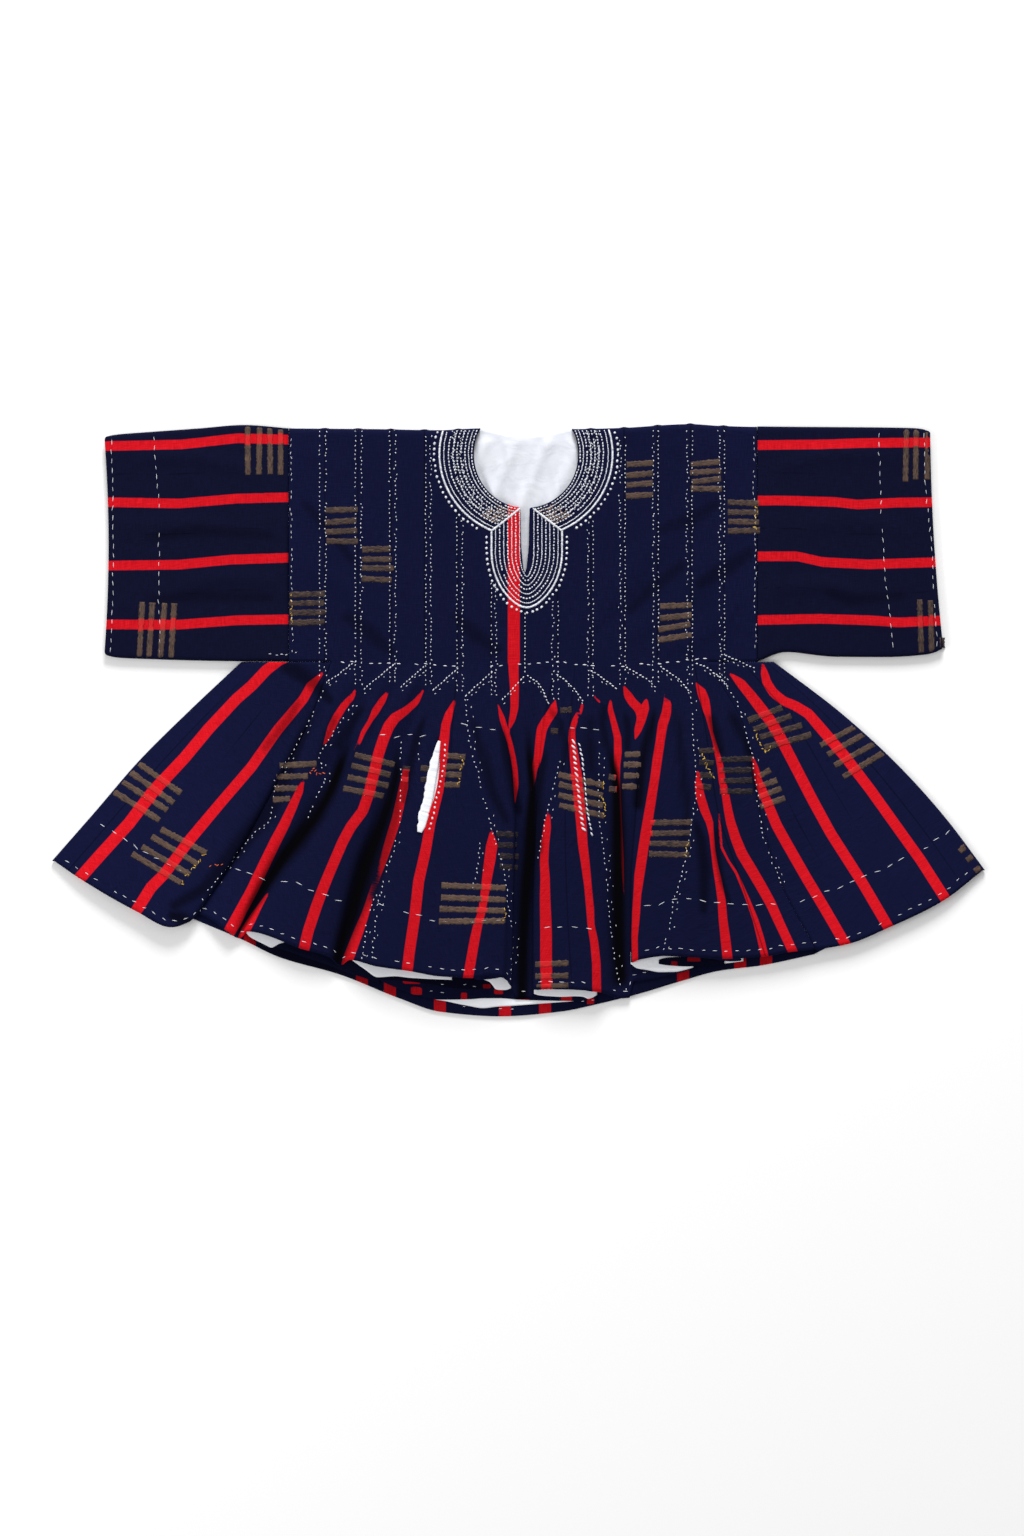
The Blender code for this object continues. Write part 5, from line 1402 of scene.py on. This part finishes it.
def flat_body(counts, inset, top_inset, hem_rise, height):
    """A flat sheet of the body's outline: shoulders, armhole sides and waist, then the flare from
    seam to seam, with rows from the shoulder down to the hem, and which cells are there."""
    bodice_rows, skirt_rows = counts
    across = np.linspace(0.0, 1.0, BACK_COLUMNS)
    waist, hem = ((left + inset, right - inset)
                  for left, right in zip(BACK_SEAM_X["left"], BACK_SEAM_X["right"]))
    waist_x = waist[0] + (waist[1] - waist[0]) * across
    hem_x = hem[0] + (hem[1] - hem[0]) * across
    left_x = np.linspace(ARMHOLE_LEFT_X + inset, waist[0], BACK_SIDE_COLUMNS)[:-1]
    right_x = np.linspace(waist[1], ARMHOLE_RIGHT_X - inset, BACK_SIDE_COLUMNS)[1:]
    all_x = np.concatenate((left_x, waist_x, right_x))
    top = monotone(np.array(SHOULDER["x"]), np.array(SHOULDER["y"]), all_x)
    part = np.clip((all_x - BACK_NECK["from_x"]) / (BACK_NECK["to_x"] - BACK_NECK["from_x"]), 0, 1)
    top = top - top_inset - BACK_NECK["dip"] * np.sin(math.pi * part)
    share = np.linspace(0.0, 1.0, bodice_rows)[:, None]
    upper = np.empty((bodice_rows, len(all_x), 3))
    upper[..., 0] = all_x
    upper[..., 1] = top + (WAIST_Y + inset - top) * share
    down = np.linspace(0.0, 1.0, skirt_rows)[1:, None]
    span = slice(len(left_x), len(left_x) + len(across))
    lower = np.zeros((skirt_rows - 1, len(all_x), 3))
    lower[:, span, 0] = waist_x + (hem_x - waist_x) * down
    lower[:, span, 1] = WAIST_Y + (back_hem_y(hem_x) + hem_rise - WAIST_Y) * down
    grid = np.concatenate((upper, lower))
    grid[..., 2] = height
    kept = np.ones((len(grid) - 1, len(all_x) - 1), dtype=bool)
    kept[bodice_rows - 1:, :span.start] = False
    kept[bodice_rows - 1:, span.stop - 1:] = False
    return grid, kept, span


def build_back():
    """The back lying flat, its hem turned up over the lining's edge, and the lining, which is
    crumpled where it shows in the neck. Returns the back with its stripes."""
    grid, kept, span = flat_body(BACK_ROWS, inset=SEAM / 2, top_inset=0.0, hem_rise=TURN_RADIUS,
                                 height=CLOTH / 2)
    hem = grid[-1, span]
    turned = []
    for angle in np.linspace(0.0, math.pi, 8)[1:]:
        row = grid[-1].copy()
        row[span, 1] = hem[:, 1] - TURN_RADIUS * math.sin(angle)
        row[span, 2] = CLOTH / 2 + TURN_RADIUS * (1 - math.cos(angle))
        turned.append(row)
    for rise in np.linspace(3.0, HEM_TURN, 6):
        row = turned[6].copy()
        row[span, 1] = hem[:, 1] + rise
        row[span, 2] = CLOTH / 2 + 2 * TURN_RADIUS + 0.25 * np.sin(hem[:, 0] / 19.0) ** 2
        turned.append(row)
    sheet = np.concatenate((grid, np.array(turned)))
    kept = np.concatenate((kept, np.repeat(kept[-1:], len(turned), axis=0)))
    x = sheet[..., 0]
    marks = np.full(sheet.shape[:2], FAR)
    for place in photo_x(BACK_HEM_MARKS):
        marks = np.minimum(marks, np.abs(x - place) - STRIPE_HALF)
    # Painted shade on the back where it lies under the front's hem
    places, shades = zip(*BACK_SHADE)
    shade = np.interp(x, photo_x(places), shades)
    lay_cloth("back_of_strips", sheet, "strips", BACK_CUT, ["floor"], replaced="back_panel",
              kept=kept, cloth_map=sheet[..., :2] * MM,
              values={"stripe_edge": marks, "fold_shade": shade})

    grid, lining_kept, _ = flat_body(BACK_LINING_ROWS, inset=3.0, top_inset=-0.4, hem_rise=9.0,
                                     height=CLOTH / 2 + TURN_RADIUS)
    x, y = grid[..., 0], grid[..., 1]
    neck = (1 - smoothstep(60.0, 95.0, np.abs(x - NECK["x"]))) * smoothstep(250.0, 300.0, y)
    neck *= 1 - smoothstep(385.0, 402.0, y)
    folds = (np.sin(x / 9.5 + y / 60.0) ** 4 * 2.4 + np.sin(x / 14.0 - y / 33.0 + 1.0) ** 6 * 2.8
             + np.sin(x / 6.0 + y / 21.0 + 2.0) ** 8 * 1.4)
    grid[..., 2] += neck * folds
    # Painted shade over the whole lining, for the neck where it shows
    lay_cloth("back_lining_cotton", grid, "lining", BACK_LINING_CUT, ["back_of_strips"],
              replaced="back_lining", kept=lining_kept, values={"fold_shade": NECK_SHADE})
    return sheet, kept, marks


def build_hem_layer(name, lined, height, shade, rows, boxes):
    """An inner layer that shows at the hem: a ribbon between an upper and a lower line, raised
    towards its upper edge, either lining or cloth with boxes of red on it. Returns it with its
    stripes."""
    rows = np.array(rows, dtype=float)
    upper, lower = (from_photo(rows[:, (0, index)]) for index in (1, 2))
    x = np.linspace(upper[0, 0], upper[-1, 0], int((upper[-1, 0] - upper[0, 0]) / 2.6) + 2)
    lines = [monotone(line[:, 0], line[:, 1], x) for line in (upper, lower)]
    share = np.linspace(0.0, 1.0, 11)[:, None]
    grid = np.empty((len(share), len(x), 3))
    grid[..., 0] = x
    grid[..., 1] = lines[0] + (lines[1] - lines[0]) * share
    grid[..., 2] = height + (1 - share) * 0.6 + 0.3 * np.sin(x / 9.0) * share
    marks = np.full(grid.shape[:2], FAR)
    for box in boxes:
        corners = from_photo(np.array(box).reshape(2, 2))
        middle, half = corners.mean(axis=0), np.abs(corners[1] - corners[0]) / 2
        marks = np.minimum(marks, (np.abs(grid[..., :2] - middle) - half).max(axis=-1))
    # Painted shade: darker where the layer lies deep under the front hem
    lay_cloth(name, grid, "lining" if lined else "inner_hem",
              (np.ptp(x), (lines[0] - lines[1]).max() * 1.05), ["back_of_strips"],
              cloth_map=grid[..., :2] * MM, values={"stripe_edge": marks, "fold_shade": shade})
    return grid, None, marks


def build_sleeve(side, table):
    """A flat tube: each section is a flattened ring between the lower and the upper edge, with its
    seam at the underside. Returns it with its stripes."""
    share = np.linspace(0.0, 1.0, len(table))
    places = np.linspace(0.0, 1.0, SLEEVE_ROWS)
    lines = monotone(share, np.array(table).T, places).T
    top, bottom = lines[:, :2], lines[:, 2:]
    radius = (BODY_Z - CLOTH / 2) / 2
    length = np.linalg.norm(top - bottom, axis=-1)[:, None]
    along = (top - bottom) / length
    inner = radius + CLOTH / 2
    turn = np.linspace(-math.pi / 2, math.pi / 2, 9)
    flat = np.linspace(0.0, 1.0, 72)[1:-1]
    half = np.linspace(0.0, 1.0, 36)
    far, near = length - inner, np.full_like(length, inner)
    middle = (far + near) / 2
    across = np.concatenate((
        middle + (far - middle) * half[1:-1], far + radius * np.cos(turn),
        far + (near - far) * flat, near - radius * np.cos(turn),
        near + (middle - near) * half[1:]), axis=1)
    across = np.concatenate((middle, across), axis=1)
    low, high = CLOTH / 2, BODY_Z
    centre = CLOTH / 2 + radius
    height = np.concatenate((
        np.full(len(half) - 1, low), centre + radius * np.sin(turn), np.full(len(flat), high),
        centre - radius * np.sin(turn), np.full(len(half) - 1, low)))
    share_across = across / length
    grid = np.empty(across.shape + (3,))
    grid[..., 0] = bottom[:, :1] + along[:, :1] * across
    grid[..., 0] += CUFF_HOLLOW[side] * places[:, None] ** 2 * (1 - (2 * share_across - 1) ** 2)
    grid[..., 1] = bottom[:, 1:] + along[:, 1:] * across
    grid[..., 2] = height
    from_edge = np.clip(CUFF_ROUND - np.minimum(across, length - across), 0.0, CUFF_ROUND)
    inset = CUFF_ROUND - np.sqrt(CUFF_ROUND ** 2 - from_edge ** 2)
    inset = inset * smoothstep(0.9, 1.0, places)[:, None]
    grid[..., 0] -= np.sign(top[-1, 0] - top[0, 0]) * inset
    upper = smoothstep(0.9, 1.0, (height - low) / (high - low))
    ends = smoothstep(0.0, 0.04, places)[:, None]
    grid[..., 2] += creases(grid[..., :2]) * upper * ends
    ring = run_length(grid, 1)
    run = np.abs(grid[..., 0] - grid[:1, :, 0])
    cloth_map = np.stack((ring, run), axis=-1) * MM
    stripe, seam = sleeve_distances(grid, side)
    turned = slice(None, None, -1 if side == "left" else 1)
    shown, cloth_map, marks, seam = (item[:, turned] for item in (grid, cloth_map, stripe, seam))
    # Painted shade over the whole sleeve, deeper along its creases
    lay_cloth("sleeve_of_strips_" + side, shown, "sleeve", (ring[:, -1].max(), run.max()),
              ["floor"], replaced="sleeve_" + side, cloth_map=cloth_map, closed=True,
              values={"stripe_edge": marks, "seam_distance": seam,
                      "fold_shade": valley_shade(shown[..., :2], SLEEVE_SHADE)})
    return shown, None, marks


class Relief:
    """The top of the lying smock as a map of heights and of distances to the stripes, read by rays
    from above every MAP_STEP millimetres."""

    def __init__(self, sheets):
        points, quads, stripes, start = [], [], [], 0
        for grid, kept, stripe in sheets:
            rows, columns = grid.shape[:2]
            number = np.arange(rows * columns).reshape(rows, columns) + start
            cells = np.stack((number[:-1, :-1], number[1:, :-1], number[1:, 1:], number[:-1, 1:]),
                             axis=-1)
            middle = (stripe[:-1, :-1] + stripe[1:, 1:]) / 2
            keep = np.ones(cells.shape[:2], dtype=bool) if kept is None else kept
            quads.append(cells[keep])
            stripes.append(middle[keep])
            points.append(grid.reshape(-1, 3))
            start += rows * columns
        tree = BVHTree.FromPolygons(np.concatenate(points).tolist(),
                                    np.concatenate(quads).tolist())
        stripes = np.concatenate(stripes)
        self.x = np.arange(-MAP_HALF_X, MAP_HALF_X + 1.0, MAP_STEP)
        self.y = np.arange(-MAP_HALF_Y, MAP_HALF_Y + 1.0, MAP_STEP)
        self.z = np.zeros((len(self.y), len(self.x)))
        self.stripe = np.full_like(self.z, FAR)
        for row, y in enumerate(self.y):
            for col, x in enumerate(self.x):
                hit = tree.ray_cast((x, y, MAP_RAY_Z), (0.0, 0.0, -1.0))
                if hit[0] is not None:
                    self.z[row, col] = hit[0].z + CLOTH_SHOWN / 2
                    self.stripe[row, col] = stripes[hit[2]]
        self.z[:, 1:-1] = np.maximum(self.z[:, 1:-1], np.minimum(self.z[:, :-2], self.z[:, 2:]))
        self.z[1:-1] = np.maximum(self.z[1:-1], np.minimum(self.z[:-2], self.z[2:]))

    def read(self, table, xy):
        """A table's values at places, from the four nearest, each by its share."""
        u = np.clip((xy[..., 0] - self.x[0]) / MAP_STEP, 0, len(self.x) - 1.001)
        v = np.clip((xy[..., 1] - self.y[0]) / MAP_STEP, 0, len(self.y) - 1.001)
        i, j = u.astype(int), v.astype(int)
        a, b = u - i, v - j
        return ((table[j, i] * (1 - a) + table[j, i + 1] * a) * (1 - b)
                + (table[j + 1, i] * (1 - a) + table[j + 1, i + 1] * a) * b)

    def drape(self, xy, lift=0.0):
        """Places on the cloth below the given ones, raised by lift."""
        return np.concatenate((xy, (self.read(self.z, xy) + lift)[..., None]), axis=-1)

    def normal(self, xy):
        """Upward normals from the slopes of the map, none steeper than 45 degrees."""
        dx = self.read(self.z, xy + (MAP_STEP, 0)) - self.read(self.z, xy - (MAP_STEP, 0))
        dy = self.read(self.z, xy + (0, MAP_STEP)) - self.read(self.z, xy - (0, MAP_STEP))
        slope = np.clip(np.stack((dx, dy), axis=-1) / (2 * MAP_STEP), -0.7, 0.7)
        result = np.concatenate((-slope, np.ones(slope.shape[:-1] + (1,))), axis=-1)
        return result / np.linalg.norm(result, axis=-1, keepdims=True)


def spaced(path, pitch):
    """Points at an even pitch along a path, and its unit direction at each."""
    path = np.asarray(path, dtype=float)
    run = run_along(path)
    count = max(1, int(round(run[-1] / pitch)))
    places = (np.arange(count) + 0.5) * run[-1] / count

    def at(place):
        return np.stack([np.interp(place, run, path[:, axis]) for axis in range(path.shape[1])],
                        axis=-1)

    way = at(np.minimum(places + 0.5, run[-1])) - at(np.maximum(places - 0.5, 0.0))
    return at(places), way / np.linalg.norm(way, axis=-1, keepdims=True)


class Stitches:
    """Many stitches gathered as arrays: middles, directions, normals, lengths and widths."""

    def __init__(self, relief, random):
        self.relief, self.random = relief, random
        self.parts = []

    def line(self, path, kind):
        """A row of stitches of one kind along a path in millimetres: some are left out, and the
        others are turned and scattered a little."""
        pitch, length, width, turn, scatter, skip, twist = SEWING[kind]
        xy, way = spaced(path, pitch)
        keep = self.random.uniform(0.0, 1.0, len(xy)) >= skip
        if not keep.any():
            return
        xy, way = xy[keep], way[keep]
        count = len(xy)
        xy = xy + self.random.normal(0.0, 1.0, (count, 2)) * scatter
        angle = turn + self.random.normal(0.0, twist, count)
        cosine, sine = np.cos(angle), np.sin(angle)
        flat = np.stack((way[:, 0] * cosine - way[:, 1] * sine,
                         way[:, 0] * sine + way[:, 1] * cosine), axis=-1)
        normal = self.relief.normal(xy)
        direction = np.concatenate((flat, np.zeros((count, 1))), axis=-1)
        direction -= normal * (direction * normal).sum(axis=-1, keepdims=True)
        direction /= np.linalg.norm(direction, axis=-1, keepdims=True)
        middle = self.relief.drape(xy, 0.05)
        length = length * self.random.uniform(0.8, 1.2, count)
        width = width * self.random.uniform(0.85, 1.15, count)
        self.parts.append((middle, direction, normal, length, width))

    def lines(self, paths, kind):
        """A row along each of several paths in photograph pixels."""
        for path in paths:
            self.line(from_photo(path), kind)

    def build(self, name, finish, slot):
        """One mesh: each stitch is a spindle of three four-sided rings and two tips."""
        parts = [np.concatenate(item) for item in zip(*self.parts)]
        lying = parts[0][:, 2] > LOWEST_STITCH
        middle, direction, normal, length, width = (item[lying] for item in parts)
        side = np.cross(normal, direction)
        ring = np.array([(0, 1), (1, 0), (0, -1), (-1, 0)], dtype=float)
        template = [(-1.0, 0.0, 0.0)]
        for place, swell in ((-0.62, 0.78), (0.0, 1.0), (0.62, 0.78)):
            template += [(place, a * swell, b * swell) for a, b in ring]
        template = np.array(template + [(1.0, 0.0, 0.0)])
        scale = np.stack((length / 2, width / 2, width / 2), axis=-1)
        local = template[None] * scale[:, None]
        points = (middle[:, None] + local[..., :1] * direction[:, None]
                  + local[..., 1:2] * side[:, None] + local[..., 2:] * normal[:, None])
        faces = []
        for corner in range(4):
            after = (corner + 1) % 4
            faces.append((0, 1 + corner, 1 + after))
            faces.append((13, 9 + after, 9 + corner))
        quads = []
        for start in (1, 5):
            for corner in range(4):
                after = (corner + 1) % 4
                quads.append((start + corner, start + 4 + corner, start + 4 + after,
                              start + after))
        shift = np.arange(len(middle))[:, None, None] * len(template)
        triangles = (np.array(faces)[None] + shift).reshape(-1, 3)
        squares = (np.array(quads)[None] + shift).reshape(-1, 4)
        mesh = bpy.data.meshes.new(name)
        mesh.from_pydata((points.reshape(-1, 3) * MM).tolist(), [],
                         triangles.tolist() + squares.tolist())
        mesh.update()
        mesh.shade_smooth()
        add_piece(name, mesh, finish)


def build_bars(relief, random):
    """The woven gold bars: thin domed strips that follow the cloth, closed below."""
    rings, sizes = [], []
    ring_along, ring_across, ring_red, ring_wear = [], [], [], []
    shape = np.array(BAR_SECTION)
    for number, (*corners, bars, wear) in enumerate(BARS):
        first_from, first_to, last_from, last_to = from_photo(corners)
        for index, part in enumerate(np.linspace(0.0, 1.0, bars)):
            start = first_from * (1 - part) + last_from * part + random.normal(0.0, 0.9, 2)
            end = first_to * (1 - part) + last_to * part + random.normal(0.0, 0.9, 2)
            length = np.linalg.norm(end - start)
            count = int(length / 2.0) + 2
            share = np.linspace(0.0, 1.0, count)[:, None]
            way = (end - start) / length
            side = np.array((-way[1], way[0]))
            spine = start + (end - start) * share
            spine = spine[relief.read(relief.z, spine) > LOWEST_BAR]
            count, share = len(spine), share[:len(spine)]
            width = BAR_HALF * (1 + random.normal(0.0, 0.1, (count, 1)))
            xy = spine[:, None] + side * (shape[:, 0] * width)[..., None]
            point = relief.drape(xy)
            point[..., 2] += shape[:, 1]
            rings.append(point)
            ring_along.append(np.repeat(share * length + 70.0 * number + 13.0 * index, 6, axis=1))
            ring_across.append(np.repeat(shape[None, :, 0] * 4.0, count, axis=0) + 9.0 * index)
            ring_red.append(1 - smoothstep(-0.6, 0.6, relief.read(relief.stripe, xy)))
            ring_wear.append(np.full((count, 6), wear))
            sizes.append(count)
    faces, start = [], 0
    for count in sizes:
        number = np.arange(count * 6).reshape(count, 6) + start
        right = np.roll(number, -1, axis=1)
        faces += np.stack((number[:-1], number[1:], right[1:], right[:-1]), axis=-1).reshape(
            -1, 4).tolist()
        faces += [number[0].tolist(), number[-1, ::-1].tolist()]
        start += count * 6
    points = np.concatenate([item.reshape(-1, 3) for item in rings]) * MM
    mesh = bpy.data.meshes.new("woven_gold_bars")
    mesh.from_pydata(points.tolist(), [], faces)
    mesh.update()
    for key, values in (("along", ring_along), ("across", ring_across), ("over_red", ring_red),
                        ("wear", ring_wear)):
        flat = np.concatenate([item.reshape(-1) for item in values]).astype(np.float32)
        mesh.attributes.new(key, "FLOAT", "POINT").data.foreach_set("value", flat)
    form = bmesh.new()
    form.from_mesh(mesh)
    bmesh.ops.recalc_face_normals(form, faces=form.faces)
    form.to_mesh(mesh)
    form.free()
    mesh.shade_smooth()
    add_piece("woven_gold_bars", mesh, BAR_YARN)


def collar_path(share, side):
    """One row round the neck: part of an ellipse from the shoulder down to the mitre, scaled
    between the hole and the outer cord."""
    (cx, cy), inner, outer = COLLAR["centre"], COLLAR["inner"], COLLAR["outer"]
    across = inner[0] + (outer[0] - inner[0]) * share
    depth = inner[1] + (outer[1] - inner[1]) * share
    end_x = COLLAR[side + "_inner"] + (COLLAR[side + "_outer"] - COLLAR[side + "_inner"]) * share
    sign = -1.0 if side == "left" else 1.0
    end = math.acos(max(-1.0, min(1.0, sign * (end_x - cx) / across)))
    angle = np.linspace(-math.asin((COLLAR["top"] - cy) / depth), end, 44)
    return np.stack((cx + sign * across * np.cos(angle), cy - depth * np.sin(angle)), axis=-1)


def placket_path(share):
    """One row round the slit: down the left side from the mitre, round a pointed half ellipse and
    up the right side."""
    half = PLACKET["inner"] + (PLACKET["outer"] - PLACKET["inner"]) * share
    bottom = PLACKET["bottom_inner"] + (PLACKET["bottom_outer"] - PLACKET["bottom_inner"]) * share
    cx, turn_y = PLACKET["centre_x"], PLACKET["turn_y"]
    top_y = PLACKET["top_y"] - (half - PLACKET["inner"]) * PLACKET["mitre_slope"]
    angle = np.linspace(math.pi, 2 * math.pi, 41)
    deep = turn_y - bottom
    x = cx + half * np.cos(angle)
    y = turn_y + deep * np.sin(angle) * (0.93 + 0.07 * np.sin(angle) ** 8)
    ends = np.array([(cx - half, top_y), (cx + half, top_y)])
    return np.concatenate((ends[:1], np.stack((x, y), axis=-1), ends[1:]))


def sew_row(stitches, path, kind):
    """One row of embroidery: cord is thick and closed, chain is thin and nearly closed, dots are
    dashes with gaps, and fuzz adds ragged cross threads to them."""
    stitches.line(path, "dots" if kind == "fuzz" else kind)
    if kind == "fuzz":
        stitches.line(path, "fuzz_up")
        stitches.line(path, "fuzz_down")


def build_pocket_lip(relief, random):
    """The lining pulled out through the open slit: a narrow white strip that lies on the cloth,
    with rolled, ragged edges."""
    table = np.array(POCKET_LIP)
    path = from_photo(table[:, :2])
    run = run_along(path)
    place = np.linspace(0.0, run[-1], 90)
    spine = np.stack([np.interp(place, run, path[:, axis]) for axis in (0, 1)], axis=-1)
    half = np.interp(place, run, table[:, 2] * PIXEL)
    way = np.gradient(spine, axis=0)
    way /= np.linalg.norm(way, axis=-1, keepdims=True)
    side = np.stack((way[:, 1], -way[:, 0]), axis=-1)
    ragged = np.interp(place, np.linspace(0, run[-1], 30), random.normal(0.0, 0.8, 30))
    across = np.linspace(-1.0, 1.0, 9)[:, None]
    offset = across * half + np.where(across > 0, across * ragged, 0.0)
    grid = relief.drape(spine[None] + side[None] * offset[..., None])
    grid[..., 2] = grid[..., 2].max(axis=0)
    grid[..., 2] += 0.3 + 1.0 * np.sqrt(1 - across ** 2) + 0.25 * np.cos(across * 7.0) ** 2
    lay_cloth("pocket_lining_edge", grid, "lining",
              (run_length(grid, 0).max(), run_length(grid, 1).max()), ["front_of_strips"])


def build_neck_embroidery(relief, random):
    """White embroidery round the neck and the slit, with its mitres and its border of dots."""
    stitches = Stitches(relief, random)
    for side in ("left", "right"):
        for share, kind in (*COLLAR_ROWS, (1.0, "cord")):
            sew_row(stitches, collar_path(share, side), kind)
        mitre = np.array([collar_path(share, side)[-1] for share in (0.0, 1.0)])
        sew_row(stitches, mitre, "cord")
    for share, kind in (*PLACKET_ROWS, (1.0, "cord")):
        sew_row(stitches, placket_path(share), kind)
    for side in ("left", "right"):
        stitches.line(collar_path(BORDER_SHARE, side)[:-3], "collar_border")
    path = placket_path(BORDER_SHARE)
    path[(0, -1), 1] = PLACKET["dots_from"]
    stitches.line(path, "placket_border")
    stitches.build("neck_embroidery", WHITE_THREAD, "white_lining_cotton")
    tan = Stitches(relief, random)
    for side in ("left", "right"):
        for share in TAN_SHARES:
            end = collar_path(share, side)[-9:-1]
            tan.line(end, "tan_up")
            tan.line(end, "tan_down")
    tan.build("neck_embroidery_tan", TAN_THREAD, "white_lining_cotton")


def build_tucks(relief, random):
    """The stitched lines of the tucks, the zigzag below them and the waist's running stitch."""
    stitches = Stitches(relief, random)
    for left_x, right_x, from_y, to_y in TUCKS:
        for x, kind in ((left_x, "tuck_left"), (right_x, "tuck_right")):
            stitches.line(from_photo([(x, from_y), (x, to_y - 4)]), kind)
    stitches.line(from_photo(CENTRE_TUCK), "tuck_centre")
    for path in ZIGZAGS:
        stitches.line(from_photo(path), "zigzag")
        stitches.line(from_photo(path) + ZIGZAG_LOOSE, "zigzag_loose")
    stitches.lines(WAIST_DASHES, "waist")
    stitches.build("tuck_stitching", WHITE_THREAD, "white_lining_cotton")


def build_skirt_sewing(relief, random, skirt):
    """Seams, hems and pocket stitches of the skirt."""
    stitches = Stitches(relief, random)
    for seam in SEAMS:
        stitches.line(from_photo(seam), "seam")
        stitches.line(from_photo(seam) + SEAM_LOOSE, "seam_loose")
    stitches.lines(SKIRT_DASHES, "deep_hem")
    stitches.line(from_photo(POCKET_EDGE), "pocket_edge")
    stitches.lines(POCKET_SIDES, "pocket_side")
    stitches.line(from_photo(POCKET_WHIP_LEFT), "whip_left")
    stitches.line(from_photo(POCKET_WHIP_RIGHT), "whip_right")
    sheet, at, depth = skirt
    columns = np.arange(at["edge_left"] + 2, at["edge_right"] - 1)
    place = (len(sheet) - 1) - HEM_STITCH_RISE / (depth[-1] - depth[-2])[columns]
    line = at_row(sheet, place, columns)
    visible = np.abs(relief.read(relief.z, line[:, :2]) - line[:, 2]) < 2.5
    start = 0
    for index in range(1, len(columns) + 1):
        if index == len(columns) or visible[index] != visible[start]:
            if visible[start] and index - start > 3:
                stitches.line(line[start:index, :2], "hem")
            start = index
    stitches.lines(HEM_DASHES, "hem_below")
    stitches.build("skirt_sewing", WHITE_THREAD, "white_lining_cotton")


def build_tufts(relief, random):
    """Loose yellow and orange-red yarn at the ends of bars."""
    tufts = {False: Stitches(relief, random), True: Stitches(relief, random)}
    for *path, orange in TUFTS:
        tufts[orange].line(from_photo(path), "tuft")
    tufts[False].build("yellow_yarn_ends", YELLOW_THREAD, "navy_strip_cloth")
    tufts[True].build("orange_yarn_ends", ORANGE_THREAD, "navy_strip_cloth")


def build_sleeve_sewing(relief, random):
    """Running stitches at the cuffs and armholes."""
    stitches = Stitches(relief, random)
    stitches.lines(CUFF_DASHES, "cuff")
    stitches.lines(ARMHOLE_DASHES, "armhole")
    stitches.build("sleeve_sewing", WHITE_THREAD, "white_lining_cotton")


def place_camera():
    """Straight above the middle of the photograph's frame, on a lens of about 100 mm."""
    camera = bpy.data.objects.new("camera", bpy.data.cameras.new("camera"))
    camera.data.sensor_width = CAMERA["sensor"]
    camera.data.lens = CAMERA["sensor"] * CAMERA["height"] / CAMERA["frame"]
    camera.data.clip_end = 20.0
    camera.location = (CAMERA["x"] * MM, CAMERA["y"] * MM, CAMERA["height"] * MM)
    bpy.context.scene.collection.objects.link(camera)
    bpy.context.scene.camera = camera


def light_room():
    """A white sheet below, a pale room, and two large soft lights, the stronger one past the
    shoulders, so that the shade falls below the hem."""
    mesh = bpy.data.meshes.new("floor")
    corners = [(x * FLOOR_HALF, y * FLOOR_HALF, FLOOR_Z)
               for x, y in ((-1, -1), (1, -1), (1, 1), (-1, 1))]
    mesh.from_pydata(corners, [], [(0, 1, 2, 3)])
    material, _, shader = new_material("white_paper_sweep")
    shader.inputs["Base Color"].default_value = linear("#FFFFFF")
    shader.inputs["Roughness"].default_value = 0.9
    shader.inputs["Specular IOR Level"].default_value = 0.1
    mesh.materials.append(material)
    floor = bpy.data.objects.new("floor", mesh)
    bpy.context.scene.collection.objects.link(floor)
    for name, place, size, watts in LIGHTS:
        lamp = bpy.data.lights.new(name, "AREA")
        lamp.shape = "SQUARE"
        lamp.size = size
        lamp.energy = watts
        item = bpy.data.objects.new(name, lamp)
        item.location = place
        item.rotation_euler = (-Vector(place)).to_track_quat("-Z", "Y").to_euler()
        bpy.context.scene.collection.objects.link(item)
    world = bpy.data.worlds.new("pale_room")
    world.use_nodes = True
    background = world.node_tree.nodes["Background"]
    background.inputs["Color"].default_value = (1.0, 1.0, 1.0, 1.0)
    background.inputs["Strength"].default_value = ROOM_LIGHT
    bpy.context.scene.world = world
    bpy.context.scene.view_settings.view_transform = "Standard"


def build_scene():
    """Everything in order: room, cloth, relief map, bars and sewing."""
    place_camera()
    light_room()
    body, skirt = build_body()
    back = build_back()
    layers = [build_hem_layer(*layer) for layer in HEM_LAYERS]
    sleeves = [build_sleeve("left", SLEEVE_LEFT), build_sleeve("right", SLEEVE_RIGHT)]
    relief = Relief((*body, *sleeves, back, *layers))
    random = np.random.default_rng(7)
    build_pocket_lip(relief, random)
    build_bars(relief, random)
    build_neck_embroidery(relief, random)
    build_tucks(relief, random)
    build_skirt_sewing(relief, random, skirt)
    build_sleeve_sewing(relief, random)
    build_tufts(relief, random)


build_scene()
